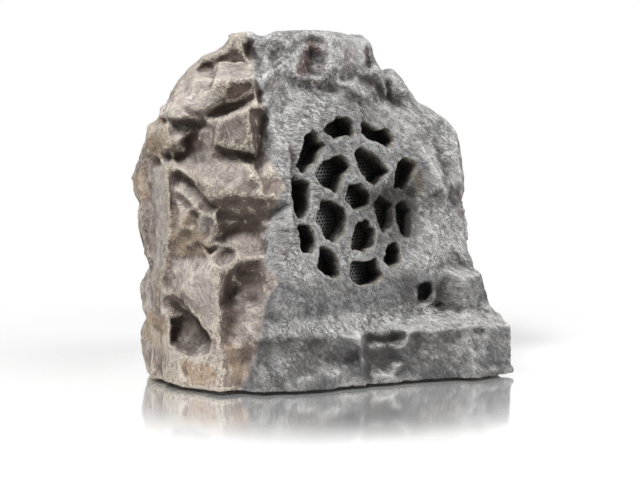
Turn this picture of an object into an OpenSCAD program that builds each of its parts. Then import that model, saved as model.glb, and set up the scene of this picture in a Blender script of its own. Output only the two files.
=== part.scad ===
// Rock-shaped outdoor loudspeaker with a battery, a wireless amplifier and one round driver.
// Millimetres. +Z is up, the sound openings face -Y, and the origin is under the middle of the
// overall box, at the level that the rubber feet stand on.

/* [Rock] */
// Overall width of the rock
rock_w = 264; // [240:1:320]
// Overall depth of the rock
rock_d = 224; // [205:1:272]
// Overall height of the rock
rock_h = 290; // [270:1:350]
// Wall of the moulded rock shell
wall = 5; // [4:0.5:6]
// Thickness of the front behind the sound openings
front_t = 20; // [17:1:24]
// Distance from the foremost point of the rock back to the front face, at the driver's height
face_in = 64; // [58:1:68]
// Lean of the front face
face_tilt = 9; // [7:1:11]
// Distance from the rearmost point of the rock in to the back face, at the panel's height
back_in = 16; // [15:1:20]
// Lean of the back face
back_tilt = 8; // [7:1:10]

/* [Base] */
// Height of the rubber feet under the rock
foot_h = 2; // [1.5:0.5:3]
// Diameter of a rubber foot
foot_d = 18; // [14:1:22]
// Thickness of the base plate
base_t = 4; // [3:0.5:5]
// Thickness of the gasket over the base plate
base_gasket_t = 2; // [1.5:0.5:3]
// Thickness of the rim that the base plate is screwed to
rim_t = 6; // [5:0.5:8]
// Width of that rim
rim_w = 14; // [13:0.5:16]

/* [Driver] */
// Outer diameter of the driver's moving surface
driver_d = 140; // [115:1:150]
// Sideways place of the driver's axis
axis_x = 4; // [0:1:8]
// Height of the driver's axis at the front face
axis_z = 151; // [145:1:160]
// Thickness of the perforated grille mesh
mesh_t = 0.8; // [0.6:0.1:1.2]
// Thickness of the gasket in front of the driver
driver_gasket_t = 2.5; // [2:0.5:4]
// Depth of the cone
cone_depth = 28; // [24:1:32]
// Diameter of the voice coil's former
coil_d = 32; // [28:1:36]
// Diameter of the ferrite magnet
magnet_d = 90; // [80:1:96]
// Thickness of the ferrite magnet
magnet_t = 15; // [12:1:18]

/* [Control panel] */
// Width of the rear control panel
panel_w = 118; // [116:1:145]
// Height of the rear control panel
panel_h = 64; // [64:1:80]
// Thickness of the rear control panel
panel_t = 4; // [3.5:0.5:5]
// Height of the middle of the panel
panel_z = 122; // [115:1:130]
// Depth of the pocket that the panel sits in
pocket_depth = 8; // [7.5:0.5:10]
// Diameter of a push button
button_d = 14; // [12:0.5:15]
// Spacing of the push buttons
button_pitch = 26; // [26:0.5:27]
// Travel of a push button
button_travel = 1.2; // [0.8:0.1:1.2]
// Width of the port bay
bay_w = 44; // [40:1:46]
// Height of the port bay
bay_h = 16; // [15:0.5:17]
// Diameter of the port cover's hinge pin
pin_d = 2; // [1.6:0.1:2.2]

/* [Electronics] */
// Diameter of a battery cell
cell_d = 18.4; // [17:0.1:19]
// Length of a battery cell
cell_len = 65; // [60:0.5:68]
// Width of the amplifier board
board_w = 90; // [80:1:94]
// Depth of the amplifier board
board_d = 68; // [60:1:72]
// Thickness of the circuit boards
board_t = 1.6; // [1:0.2:2]

/* [Hidden] */

$fn = 48;
reach = 700;       // further than any part of the rock
cut = 1;           // how far a cutter runs past the face it opens
fit = 0.02;        // radial gap of a screw, pin or lens in its hole
slide_gap = 0.25;  // gap around a push button
drop_in = 0.5;     // gap around a piece that drops into a pocket

// ---- Frames ----
face_y = -rock_d / 2 + face_in;
back_y = rock_d / 2 - back_in;

// Children are placed on the front face: +Z out of the face on the driver's axis, +Y up the face
module on_face()
    translate([axis_x, face_y, axis_z]) rotate([90 - face_tilt, 0, 0]) children();

// Children are placed on the back face: +Z out of it at the panel's middle, +Y up it
module on_back()
    translate([0, back_y, panel_z]) rotate([back_tilt - 90, 0, 0]) rotate([0, 0, 180]) children();

// The same two places for a single point
function face_point(p) = [
    axis_x + p[0],
    face_y + p[1] * sin(face_tilt) - p[2] * cos(face_tilt),
    axis_z + p[1] * cos(face_tilt) + p[2] * sin(face_tilt)];
function back_point(p) = [
    -p[0],
    back_y - p[1] * sin(back_tilt) + p[2] * cos(back_tilt),
    panel_z + p[1] * cos(back_tilt) + p[2] * sin(back_tilt)];

// ---- The rock's masses ----
// Each mass is what lies behind all of its planes. A plane is [heading, upward tilt, a point on it],
// at the size in rock_ref, and stretches with the overall size.
rock_ref = [264, 224, 290];
stretch = [rock_w / rock_ref[0], rock_d / rock_ref[1], rock_h / rock_ref[2]];

core_planes = [
    [254, 5, [-95, -50, 57]], [232, 7, [-72, -48, 155]], [206, 1, [-113, -12, 120]],
    [180, -2, [-132, 60, 130]], [142, 21, [-132, 80, 163]], [148, -6, [-130, 84, 150]],
    [125, 10, [-96, 84, 120]], [50, 10, [95, 78, 120]], [0, 4, [127, 0, 120]],
    [318, 9, [120, -50, 150]], [168, 38, [-110, 64, 231]], [195, 58, [-78, 64, 262]],
    [120, 62, [-60, 52, 280]], [250, 78, [-10, 0, 283]], [322, 46, [114, -46, 206]],
    [60, 50, [30, 66, 262]], [205, -20, [-113, 29, 0]], [165, -24, [-112, 75, 0]]
];
ledge_planes = [
    [254, 5, [-99, -49, 0]], [235, 14, [-99, -49, 20]], [200, 6, [-104, -20, 10]],
    [318, 2, [129, -104, 20]], [345, 2, [136, -60, 20]], [90, 80, [0, -50, 50]],
    [90, 0, [0, 60, 0]], [254, 62, [0, -74, 44]], [322, 50, [124, -92, 44]]
];
boulder_planes = [
    [270, 25, [110, -82, 58]], [330, 12, [130, -66, 60]], [60, 75, [100, -50, 80]],
    [270, 75, [105, -76, 77]], [200, 20, [84, -60, 60]], [90, 0, [0, -20, 0]],
    [330, 50, [126, -62, 72]]
];
crown_planes = [
    [257, 12, [-15, -36, 250]], [322, 14, [44, -34, 255]], [200, 8, [-50, -22, 262]],
    [270, -50, [0, -37, 230]], [90, 0, [0, 20, 260]], [300, 76, [10, -10, 289]],
    [215, 60, [-40, -22, 280]]
];
shoulder_planes = [
    [270, 10, [100, -53, 190]], [325, 9, [122, -50, 180]], [318, 52, [104, -46, 226]],
    [222, 22, [90, -53, 190]], [280, -42, [105, -53, 152]], [60, 0, [104, -20, 190]],
    [180, 0, [70, 0, 0]]
];
cheek_planes = [
    [226, 14, [-80, -52, 165]], [252, 4, [-74, -52, 165]], [226, 62, [-86, -42, 198]],
    [235, -42, [-84, -46, 132]], [160, 10, [-112, -15, 165]], [20, 0, [-66, -40, 165]],
    [46, 0, [-80, -20, 165]]
];

function stretched(p) = [for (i = [0:2]) p[i] * stretch[i]];
function unit(v) = v / norm(v);
function plane_normal(p) = unit([
    cos(p[0]) * cos(p[1]) / stretch[0], sin(p[0]) * cos(p[1]) / stretch[1], sin(p[1]) / stretch[2]]);

// Everything more than inset behind a plane
module behind(plane, inset) {
    n = plane_normal(plane);
    rotate([0, 0, atan2(n[1], n[0])]) rotate([0, 90 - asin(n[2]), 0])
        translate([-reach, -reach, n * stretched(plane[2]) - inset - 2 * reach])
            cube(2 * reach);
}

module mass(planes, inset = 0)
    intersection_for(p = planes) behind(p, inset);

// The main mass, whose front and back are the flat faces that carry the driver and the panel
module core_mass(inset = 0, front_inset = 0)
    intersection() {
        mass(core_planes, inset);
        on_face() translate([-reach, -reach, -front_inset - 2 * reach]) cube(2 * reach);
        on_back() translate([-reach, -reach, -inset - 2 * reach]) cube(2 * reach);
    }

module rock_solid()
    intersection() {
        union() {
            core_mass();
            mass(ledge_planes);
            mass(boulder_planes);
            mass(crown_planes);
            mass(shoulder_planes);
            mass(cheek_planes);
        }
        translate([-rock_w / 2, -rock_d / 2, foot_h]) cube([rock_w, rock_d, rock_h - foot_h]);
    }

// ---- Base levels and outline ----
plate_top = foot_h + base_t;
rim_z = plate_top + base_gasket_t;
rim_top = rim_z + rim_t;

base_outline = [for (p = [
    [-92, -38], [108, -96], [120, -84], [121, 70], [84, 100], [-94, 100], [-100, 68], [-103, 20]
]) [p[0] * stretch[0], p[1] * stretch[1]]];

// An outline drawn anticlockwise, moved in by d on every side
function inner_outline(points, d) = let (n = len(points)) [for (i = [0:n - 1]) let (
    u = unit(points[i] - points[(i + n - 1) % n]),
    v = unit(points[(i + 1) % n] - points[i]),
    side_u = [-u[1], u[0]],
    side_v = [-v[1], v[0]]
) points[i] + (side_u + side_v) * d / (1 + side_u * side_v)];

base_holes = inner_outline(base_outline, rim_w / 2);
foot_spots = [for (i = [0, 1, 3, 5, 7]) inner_outline(base_outline, rim_w + foot_d / 2)[i]];
foot_seat = 1.5;      // how far a foot sits up into the base plate
base_screw_r = 1.75;
boss_r = 5;
boss_h = 14;

// ---- Driver levels, along its axis from the front face ----
driver_r = driver_d / 2;
coil_r = coil_d / 2;
magnet_r = magnet_d / 2;
mesh_z = -front_t;
flange_z = -front_t - driver_gasket_t;
flange_t = 4;
flange_r = driver_r + 14;
lip_z = flange_z - 8;             // seat of the surround
roll_r = 6;
roll_mid_r = driver_r - 10;       // middle of the surround's roll
lip_t = 1;
edge_r = roll_mid_r - roll_r;     // outer edge of the cone
neck_z = lip_z - cone_depth;
spider_z = neck_z - 6;            // seat of the spider
spider_r = coil_r + 26;
top_plate_z = spider_z - 9.5;
top_plate_t = 5;
magnet_z = top_plate_z - top_plate_t;
back_plate_t = 6;
back_plate_z = magnet_z - magnet_t;
plate_r = magnet_r - 5;
mesh_r = driver_r + 6;
gasket_in_r = driver_r + 4.5;
driver_screw_r = 2;
driver_hole_pitch = driver_r + 10;
driver_screw_angles = [45, 135, 225, 315];
former_t = 0.4;
former_end_z = magnet_z - 5;
coil_t = 1.2;

// ---- Control panel levels, out of the back face ----
panel_front = -pocket_depth + 1.5 + panel_t;  // over a 1.5 mm gasket
panel_back = panel_front - panel_t;
window_w = panel_w - 18;
window_h = panel_h - 16;
panel_hole_x = panel_w / 2 - 5;
panel_hole_y = panel_h / 2 - 4.5;
panel_screw_r = 1.5;
control_board_z = panel_back - 20;  // its outer face
button_r = button_d / 2;
button_y = 14;
button_xs = [for (i = [0:3]) (i - 1.5) * button_pitch];
button_proud = 2;
button_flange_t = 1.5;
button_flange_z = panel_back - 0.3;
switch_h = 3.5;
plunger_r = 1.6;
plunger_top = control_board_z + switch_h + button_travel;
post_spots = [[-button_pitch, 19], [button_pitch, 19], [-44, -19], [45, -19]];
post_r = 3;
board_screw_r = 1;
bay_x = 16;
bay_y = -13;
bay_wall = 2;
bay_floor = panel_front - 9.5;
jack_neck_z = bay_floor + 1;
dc_x = bay_x - 11;
aux_x = bay_x + 11;
dc_r = 2.9;
dc_pin_r = 1.05;
aux_r = 1.8;
dc_neck_r = 4.5;
aux_neck_r = 3.5;
neck_gap = 0.2;
lens_spot = [-36, -14];
lens_r = 2.5;
pin_r = pin_d / 2;
knuckle_r = pin_r + 1;
cover_t = 2;
cover_lap = 3;
cover_gap = 0.4;
hinge_y = bay_y + bay_h / 2 + 4;
hinge_z = panel_front + 0.1;
cover_w = bay_w + 2 * cover_lap;
cover_bottom = bay_y - bay_h / 2 - cover_lap;
knuckle_w = cover_w - 12;
recess_z = hinge_z - cover_t - 0.3;

// ---- Electronics on the base plate ----
board_x = 8;
board_y = -38;
board_z = plate_top + 8;
board_top = board_z + board_t;
board_holes = [for (x = [board_x + 5, board_x + board_w - 5], y = [board_y + 5, board_y + board_d - 5])
    [x, y]];
small_screw_r = 1.5;
holder_x = -82;
holder_y = 2;
holder_wall = 2;
holder_floor = 2;
cell_pitch = cell_d + 0.8;
cell_z = plate_top + holder_floor + cell_d / 2 + 0.2;
holder_w = cell_len + 2 * holder_wall + 2;
holder_d = 4 * cell_pitch + 2 * holder_wall;
holder_ear = 8;
holder_holes = [[holder_x + holder_w / 2, holder_y - holder_ear / 2],
    [holder_x + holder_w + holder_ear / 2, holder_y + holder_d - 12]];
driver_plug = [board_x + 12, board_y + 14];
battery_plug = [board_x + 8, board_y + 50];
control_plug = [board_x + 62, board_y + 60];
plug_h = 8;

// ---- General shapes ----
module box(x, y, z0, z1, centre = [0, 0])
    translate([centre[0] - x / 2, centre[1] - y / 2, z0]) cube([x, y, z1 - z0]);

module rod(r, z0, z1)
    translate([0, 0, z0]) cylinder(r = r, h = z1 - z0);

module ring(r_out, r_in, z0, z1)
    difference() {
        rod(r_out, z0, z1);
        rod(r_in, z0 - cut, z1 + cut);
    }

module prism(points, z0, z1)
    translate([0, 0, z0]) linear_extrude(z1 - z0) polygon(points);

module at_points(points)
    for (p = points) translate([p[0], p[1], 0]) children();

module around(r, angles)
    for (a = angles) rotate([0, 0, a]) translate([r, 0, 0]) rotate([0, 0, -a]) children();

// A pan-headed screw that points down from the underside of its head at z
module screw(r, z, length, head_r, head_h) {
    rod(r - fit, z - length, z);
    rod(head_r, z, z + head_h);
}

// Points on a smooth curve through a few given points
function curve_point(a, b, c, d, t) = 0.5 * (2 * b + (c - a) * t
    + (2 * a - 5 * b + 4 * c - d) * t * t + (3 * b - a - 3 * c + d) * t * t * t);
function smooth_route(points, steps) = let (last = len(points) - 1) concat(
    [for (i = [0:last - 1], k = [0:steps - 1]) curve_point(
        points[max(i - 1, 0)], points[i], points[i + 1], points[min(i + 2, last)], k / steps)],
    [points[last]]);

// A round lead along a route, as one closed polyhedron
module lead(points, r, sides = 8) {
    route = smooth_route(points, 5);
    last = len(route) - 1;
    rings = [for (i = [0:last]) let (
        along = i == 0 ? unit(points[1] - points[0])
            : i == last ? unit(points[len(points) - 1] - points[len(points) - 2])
            : unit(route[i + 1] - route[i - 1]),
        across = unit(cross(along, abs(along[0]) < 0.9 ? [1, 0, 0] : [0, 1, 0])),
        up = cross(along, across)
    ) for (k = [0:sides - 1]) route[i] + r * (cos(360 * k / sides) * across + sin(360 * k / sides) * up)];
    walls = [for (i = [0:last - 1], k = [0:sides - 1]) let (next = (k + 1) % sides)
        [i * sides + k, i * sides + next, (i + 1) * sides + next, (i + 1) * sides + k]];
    polyhedron(rings, concat(
        [[for (k = [sides - 1:-1:0]) k]], walls, [[for (k = [0:sides - 1]) last * sides + k]]));
}

// ---- Sound openings ----
// Outlines across the front face about the driver's axis, for a 140 mm driver
opening_ref = 140;
opening_outlines = [
    [[-25, 59], [-17, 51], [-6, 54], [4, 52], [6, 56], [2, 66], [-10, 69]],
    [[15, 54], [24, 50], [40, 43], [48, 48], [42, 58], [30, 58], [15, 65]],
    [[-51, 40], [-59, 31], [-49, 25], [-38, 33], [-28, 45], [-38, 58], [-47, 53]],
    [[9, 28], [13, 21], [24, 12], [40, 22], [34, 31], [26, 37], [12, 42], [5, 39]],
    [[-37, 23], [-36, 17], [-18, 8], [-10, 21], [0, 28], [-12, 38], [-30, 33]],
    [[48, 19], [49, 9], [57, 8], [66, 16], [70, 27], [62, 33], [51, 30]],
    [[-68, 2], [-63, -10], [-56, -11], [-48, -4], [-48, 14], [-62, 23], [-67, 16]],
    [[-7, 2], [-5, -3], [0, -6], [17, -3], [20, 4], [9, 13], [-3, 13]],
    [[24, -13], [30, -29], [42, -19], [43, -6], [31, 3], [25, -2]],
    [[-40, -15], [-33, -28], [-24, -32], [-11, -21], [-8, -10], [-17, -1], [-33, 2]],
    [[48, -20], [49, -30], [58, -33], [63, -22], [64, -11], [58, -4], [50, -6]],
    [[-63, -26], [-59, -38], [-50, -39], [-45, -30], [-49, -18], [-62, -18]],
    [[-5, -32], [-6, -40], [5, -42], [18, -38], [19, -26], [14, -16], [4, -18]],
    [[26, -50], [31, -57], [44, -54], [46, -44], [41, -36], [32, -41]],
    [[-44, -50], [-39, -58], [-27, -62], [-22, -56], [-24, -48], [-34, -37], [-42, -37]],
    [[-11, -61], [-5, -68], [10, -70], [21, -63], [17, -50], [4, -52], [-9, -51]]
];
opening_scale = driver_d / opening_ref;

module sound_openings(z0, z1)
    for (outline = opening_outlines)
        prism([for (p = outline) p * opening_scale], z0, z1);

// ---- Rock shell and base ----
module rock_cavity()
    intersection() {
        union() {
            core_mass(wall, front_t);
            mass(ledge_planes, wall);
            mass(boulder_planes, wall);
        }
        translate([wall - rock_w / 2, wall - rock_d / 2, rim_top])
            cube([rock_w - 2 * wall, rock_d - 2 * wall, rock_h - rim_top - wall]);
    }

module rock_shell()
    color([0.47, 0.43, 0.39]) difference() {
        union() {
            difference() {
                rock_solid();
                rock_cavity();
                prism(inner_outline(base_outline, rim_w), 0, rim_top + cut);
            }
            intersection() {
                rock_solid();
                union() {
                    on_back() box(panel_w + 2 * (drop_in + wall), panel_h + 2 * (drop_in + wall),
                        -pocket_depth - wall, cut);
                    at_points(base_holes) rod(boss_r, rim_z, rim_z + boss_h);
                }
            }
        }
        prism(inner_outline(base_outline, -drop_in), 0, rim_z);
        at_points(base_holes) rod(base_screw_r, rim_z - cut, rim_z + boss_h - 2);
        on_face() sound_openings(-front_t - cut, 60);
        on_face() around(driver_hole_pitch, driver_screw_angles)
            rod(driver_screw_r, -front_t - cut, -front_t + 12);
        on_back() box(panel_w + 2 * drop_in, panel_h + 2 * drop_in, -pocket_depth, 60);
        on_back() box(window_w, window_h, -pocket_depth - 3 * wall, 0);
        on_back() for (x = [-panel_hole_x, panel_hole_x], y = [-panel_hole_y, panel_hole_y])
            translate([x, y, 0]) rod(panel_screw_r, -pocket_depth - 4, 0);
    }

module base_plate()
    color([0.16, 0.16, 0.17]) difference() {
        union() {
            prism(base_outline, foot_h, plate_top);
            at_points(board_holes) rod(3.5, plate_top - cut, board_z);
        }
        at_points(base_holes) rod(base_screw_r + 0.3, 0, rim_z);
        at_points(base_holes) rod(4, 0, foot_h + 2);
        at_points(foot_spots) rod(foot_d / 2 + fit, 0, foot_h + foot_seat);
        at_points(board_holes) rod(small_screw_r, foot_h + 1.5, board_z + cut);
        at_points(holder_holes) rod(small_screw_r, foot_h + 1, board_z + cut);
    }

module base_gasket()
    color([0.08, 0.08, 0.08]) difference() {
        prism(base_outline, plate_top, rim_z);
        prism(inner_outline(base_outline, rim_w), 0, rim_z + cut);
        at_points(base_holes) rod(base_screw_r + 0.3, 0, rim_z + cut);
    }

// Heads sit 0.2 mm up inside their counterbores, and point up into the rim's bosses
module base_screws()
    color([0.7, 0.7, 0.72]) at_points(base_holes) {
        rod(base_screw_r - fit, foot_h + 2, rim_z + boss_h - 3);
        rod(3.6, foot_h + 0.2, foot_h + 2);
    }

module rubber_feet()
    color([0.06, 0.06, 0.06]) at_points(foot_spots) rod(foot_d / 2, 0, foot_h + foot_seat);

// ---- Driver ----
module grille_mesh()
    color([0.09, 0.09, 0.09]) on_face() rod(mesh_r, mesh_z - mesh_t, mesh_z);

module driver_gasket()
    color([0.1, 0.1, 0.1]) on_face() difference() {
        ring(flange_r, gasket_in_r, flange_z, -front_t);
        rod(mesh_r + 0.2, mesh_z - mesh_t, 0);
        around(driver_hole_pitch, driver_screw_angles) rod(driver_screw_r + 0.3, flange_z - cut, 0);
    }

module driver_basket()
    color([0.13, 0.13, 0.14]) on_face() difference() {
        rotate_extrude() polygon([
            [driver_r + 2, flange_z], [flange_r, flange_z], [flange_r, flange_z - flange_t],
            [driver_r + 4.5, flange_z - flange_t], [driver_r + 4.5, lip_z - 3],
            [spider_r + 4, spider_z - 2], [plate_r + 2, top_plate_z + 2], [plate_r + 2, top_plate_z],
            [plate_r - 10, top_plate_z], [plate_r - 10, top_plate_z + 2],
            [spider_r - 4, spider_z - 2], [spider_r - 4, spider_z], [spider_r + 2, spider_z],
            [driver_r - 6, lip_z - 3], [driver_r - 6, lip_z], [driver_r + 2, lip_z]
        ]);
        for (a = [0:60:300]) rotate([0, 0, a])
            translate([spider_r, -0.2 * driver_r, spider_z + 3])
                cube([driver_r, 0.4 * driver_r, lip_z - spider_z - 8]);
        around(driver_hole_pitch, driver_screw_angles)
            rod(driver_screw_r + 0.3, flange_z - flange_t - cut, flange_z + cut);
    }

module driver_screws()
    color([0.72, 0.72, 0.74]) on_face() around(driver_hole_pitch, driver_screw_angles)
        mirror([0, 0, 1]) screw(driver_screw_r, flange_t - flange_z, 17, 3.6, 2.6);

module cone_surround()
    color([0.08, 0.08, 0.08]) on_face() {
        ring(driver_r, roll_mid_r + roll_r - lip_t, lip_z, lip_z + lip_t);
        rotate_extrude() translate([roll_mid_r, lip_z]) difference() {
            circle(roll_r);
            circle(roll_r - lip_t);
            translate([-2 * roll_r, -2 * roll_r]) square([4 * roll_r, 2 * roll_r]);
        }
        ring(roll_mid_r - roll_r + lip_t, edge_r - 3, lip_z, lip_z + lip_t);
    }

module driver_cone()
    color([0.12, 0.12, 0.12]) on_face() rotate_extrude() polygon([
        [edge_r + 0.5, lip_z], [edge_r - 3, lip_z], [coil_r, neck_z],
        [coil_r, neck_z - 1], [edge_r - 2.7, lip_z - 1], [edge_r + 0.5, lip_z - 1]
    ]);

cap_r = coil_r + 4;
cap_h = 8;
cap_z = lip_z - (edge_r - 3 - cap_r) * cone_depth / (edge_r - 3 - coil_r);
cap_ball_r = (cap_r * cap_r + cap_h * cap_h) / (2 * cap_h);

module dust_cap()
    color([0.15, 0.15, 0.15]) on_face() rotate_extrude() intersection() {
        translate([0, cap_z + cap_h - cap_ball_r]) difference() {
            circle(cap_ball_r, $fn = 120);
            circle(cap_ball_r - 0.6, $fn = 120);
        }
        translate([0, cap_z]) square([cap_r + 1, cap_h + 1]);
    }

module voice_coil_former()
    color([0.8, 0.6, 0.35]) on_face() ring(coil_r, coil_r - former_t, former_end_z, neck_z + 2);

module voice_coil()
    color([0.72, 0.4, 0.2]) on_face()
        ring(coil_r + coil_t, coil_r, magnet_z - 3, top_plate_z + 3);

// Ripples of the spider, from the former out to its seat
spider_ripple = [for (i = [0:12]) [coil_r + i * (spider_r - coil_r) / 12, (i % 2) * 1.6]];

module spider()
    color([0.75, 0.6, 0.3]) on_face() translate([0, 0, spider_z]) rotate_extrude() polygon(concat(
        spider_ripple, [for (i = [12:-1:0]) spider_ripple[i] + [0, 0.5]]));

module top_plate()
    color([0.62, 0.62, 0.64]) on_face()
        ring(plate_r, coil_r + coil_t + 0.8, magnet_z, top_plate_z);

module ferrite_magnet()
    color([0.2, 0.2, 0.21]) on_face() ring(magnet_r, coil_r + 6, back_plate_z, magnet_z);

module back_plate()
    color([0.6, 0.6, 0.62]) on_face() difference() {
        union() {
            rod(plate_r, back_plate_z - back_plate_t, back_plate_z);
            rod(coil_r - former_t - 0.6, back_plate_z - cut, top_plate_z);
        }
        rod(5, back_plate_z - back_plate_t - cut, top_plate_z + cut);
    }

strip_y = -(driver_r + 9);
strip_z = flange_z - flange_t;

module terminal_strip()
    color([0.75, 0.65, 0.4]) on_face() {
        box(24, 7, strip_z - 3, strip_z, [0, strip_y]);
        for (x = [-6, 6]) box(5, 1, strip_z - 11, strip_z - 3, [x, strip_y]);
    }

module driver_lead()
    color([0.6, 0.1, 0.1]) lead([
        face_point([0, strip_y, strip_z - 3]),
        face_point([0, strip_y, strip_z - 12]),
        [driver_plug[0], driver_plug[1], board_top + plug_h + 16],
        [driver_plug[0], driver_plug[1], board_top + plug_h]
    ], 2);

// ---- Amplifier and battery ----
module amp_board()
    color([0.05, 0.3, 0.15]) difference() {
        translate([board_x, board_y, board_z]) cube([board_w, board_d, board_t]);
        at_points(board_holes) rod(small_screw_r + 0.2, board_z - cut, board_top + cut);
    }

module amp_board_screws()
    color([0.75, 0.75, 0.76]) at_points(board_holes) screw(small_screw_r, board_top, 8, 2.8, 2);

sink_spot = [board_x + 40, board_y + 30];
sink_w = 40;
sink_d = 22;
sink_h = 22;
fin_pitch = 5;

module amp_heatsink()
    color([0.75, 0.76, 0.78]) {
        box(sink_w, sink_d, board_top + 2, board_top + 6, sink_spot);
        for (x = [-sink_w / 2 + 1:fin_pitch:sink_w / 2 - 1])
            box(1.5, sink_d, board_top + 5, board_top + sink_h, sink_spot + [x, 0]);
    }

// The power stage chip under the heat sink, and the smaller chips beside it
module amp_chips()
    color([0.1, 0.1, 0.11]) {
        box(14, 14, board_top, board_top + 2, sink_spot);
        box(10, 8, board_top, board_top + 1.6, [board_x + 64, board_y + 6]);
        box(8, 6, board_top, board_top + 1.5, [board_x + 50, board_y + 8]);
        box(12, 12, board_top, board_top + 7, [board_x + 26, board_y + 56]);
        box(12, 12, board_top, board_top + 7, [board_x + 42, board_y + 56]);
    }

module amp_capacitors()
    color([0.15, 0.2, 0.4]) {
        for (y = [18, 36]) translate([board_x + 74, board_y + y, 0]) rod(8, board_top, board_top + 25);
        for (x = [26, 36]) translate([board_x + x, board_y + 8, 0]) rod(4, board_top, board_top + 11);
    }

module bluetooth_module()
    color([0.7, 0.72, 0.74])
        box(16, 24, board_top, board_top + 3.2, [board_x + 8, board_y + 32]);

module lead_connectors()
    color([0.9, 0.88, 0.8]) {
        box(10, 8, board_top, board_top + plug_h, driver_plug);
        box(8, 8, board_top, board_top + plug_h, battery_plug);
        box(14, 8, board_top, board_top + plug_h, control_plug);
    }

module battery_holder()
    color([0.14, 0.14, 0.15]) difference() {
        union() {
            translate([holder_x, holder_y, plate_top]) cube([holder_w, holder_d, cell_d * 0.75]);
            translate([holder_holes[0][0] - 6, holder_y - holder_ear, plate_top])
                cube([12, holder_ear + 1, 3]);
            translate([holder_x + holder_w - 1, holder_holes[1][1] - 6, plate_top])
                cube([holder_ear + 1, 12, 3]);
        }
        translate([holder_x + holder_wall, holder_y + holder_wall, plate_top + holder_floor])
            cube([holder_w - 2 * holder_wall, holder_d - 2 * holder_wall, cell_d]);
        at_points(holder_holes) rod(small_screw_r + 0.2, 0, board_z);
    }

module battery_screws()
    color([0.75, 0.75, 0.76]) at_points(holder_holes)
        screw(small_screw_r, plate_top + 3, 5.5, 2.8, 2);

// One cell with its raised positive end, from the front of the holder (1) to the back (4)
module battery_cell(place)
    color([0.25, 0.4, 0.6])
        translate([holder_x + holder_wall + 1, holder_y + holder_wall + (place - 0.5) * cell_pitch, cell_z])
            rotate([0, 90, 0]) {
                rod(cell_d / 2, 0, cell_len - 1.5);
                rod(cell_d / 4, 0, cell_len);
            }

module battery_lead()
    color([0.6, 0.1, 0.1]) lead([
        [holder_x + holder_w, holder_y + 9, plate_top + 9],
        [holder_x + holder_w + 6, holder_y + 9, plate_top + 9],
        [battery_plug[0] - 10, battery_plug[1], board_top + 4],
        [battery_plug[0] - 4, battery_plug[1], board_top + 4]
    ], 2);

// ---- Control panel ----
module control_panel()
    color([0.1, 0.1, 0.11]) on_back() difference() {
        union() {
            box(panel_w, panel_h, panel_back, panel_front);
            at_points(post_spots) rod(post_r, control_board_z, panel_back + 1);
            box(bay_w + 2 * bay_wall, bay_h + 2 * bay_wall, bay_floor - bay_wall, panel_back + 1,
                [bay_x, bay_y]);
        }
        box(bay_w, bay_h, bay_floor, panel_front + cut, [bay_x, bay_y]);
        // The cover's recess, left standing where the two hinge ears are
        difference() {
            translate([bay_x - cover_w / 2 - cover_gap, cover_bottom - cover_gap, recess_z])
                cube([cover_w + 2 * cover_gap, hinge_y - cover_bottom + 2 * cover_gap + knuckle_r, 10]);
            hinge_ears();
        }
        translate([bay_x, hinge_y, hinge_z]) rotate([0, 90, 0])
            rod(pin_r + fit, -cover_w / 2 + 0.6, cover_w / 2 - 0.6);
        for (x = button_xs) translate([x, button_y, 0])
            rod(button_r + slide_gap, panel_back - cut, panel_front + cut);
        translate([lens_spot[0], lens_spot[1], 0])
            rod(lens_r + fit, panel_back - cut, panel_front + cut);
        translate([dc_x, bay_y, 0]) rod(dc_neck_r + neck_gap, bay_floor - 2 * bay_wall, bay_floor + cut);
        translate([aux_x, bay_y, 0]) rod(aux_neck_r + neck_gap, bay_floor - 2 * bay_wall, bay_floor + cut);
        at_points(post_spots) rod(board_screw_r, control_board_z - cut, control_board_z + 8);
        for (x = [-panel_hole_x, panel_hole_x], y = [-panel_hole_y, panel_hole_y])
            translate([x, y, 0]) {
                rod(panel_screw_r + 0.2, panel_back - cut, panel_front + cut);
                rod(3.2, panel_front - 2, panel_front + cut);
            }
    }

// The two ears that hold the ends of the hinge pin
module hinge_ears()
    for (side = [-1, 1]) translate([bay_x + side * (knuckle_w / 2 + cover_gap + 2.4), hinge_y, 0]) {
        translate([-2.4, 0, hinge_z]) rotate([0, 90, 0]) rod(knuckle_r, 0, 4.8);
        box(4.8, 2 * knuckle_r, panel_back, hinge_z);
    }

module panel_gasket()
    color([0.07, 0.07, 0.07]) on_back() difference() {
        box(panel_w - 1, panel_h - 1, -pocket_depth, panel_back);
        box(window_w, window_h, -pocket_depth - cut, panel_back + cut);
        for (x = [-panel_hole_x, panel_hole_x], y = [-panel_hole_y, panel_hole_y])
            translate([x, y, 0]) rod(panel_screw_r + 0.2, -pocket_depth - cut, panel_back + cut);
    }

module panel_screws()
    color([0.75, 0.75, 0.76]) on_back()
        for (x = [-panel_hole_x, panel_hole_x], y = [-panel_hole_y, panel_hole_y])
            translate([x, y, 0]) screw(panel_screw_r, panel_front - 2, panel_t + 3, 3, 1.8);

module control_board()
    color([0.05, 0.3, 0.15]) on_back() difference() {
        box(window_w - 4, window_h - 4, control_board_z - board_t, control_board_z);
        at_points(post_spots) rod(board_screw_r + 0.2, control_board_z - 3, control_board_z + cut);
    }

module control_board_screws()
    color([0.75, 0.75, 0.76]) on_back() at_points(post_spots)
        mirror([0, 0, 1]) screw(board_screw_r, board_t - control_board_z, 8, 2, 1.4);

module tact_switches()
    color([0.2, 0.2, 0.2]) on_back() for (x = button_xs) translate([x, button_y, 0])
        difference() {
            box(6, 6, control_board_z, control_board_z + switch_h);
            rod(plunger_r + 0.1, control_board_z + 0.6, control_board_z + switch_h + cut);
        }

module status_led()
    color([0.85, 0.9, 0.95]) on_back()
        box(3.2, 2.8, control_board_z, control_board_z + 1.5, lens_spot);

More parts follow.
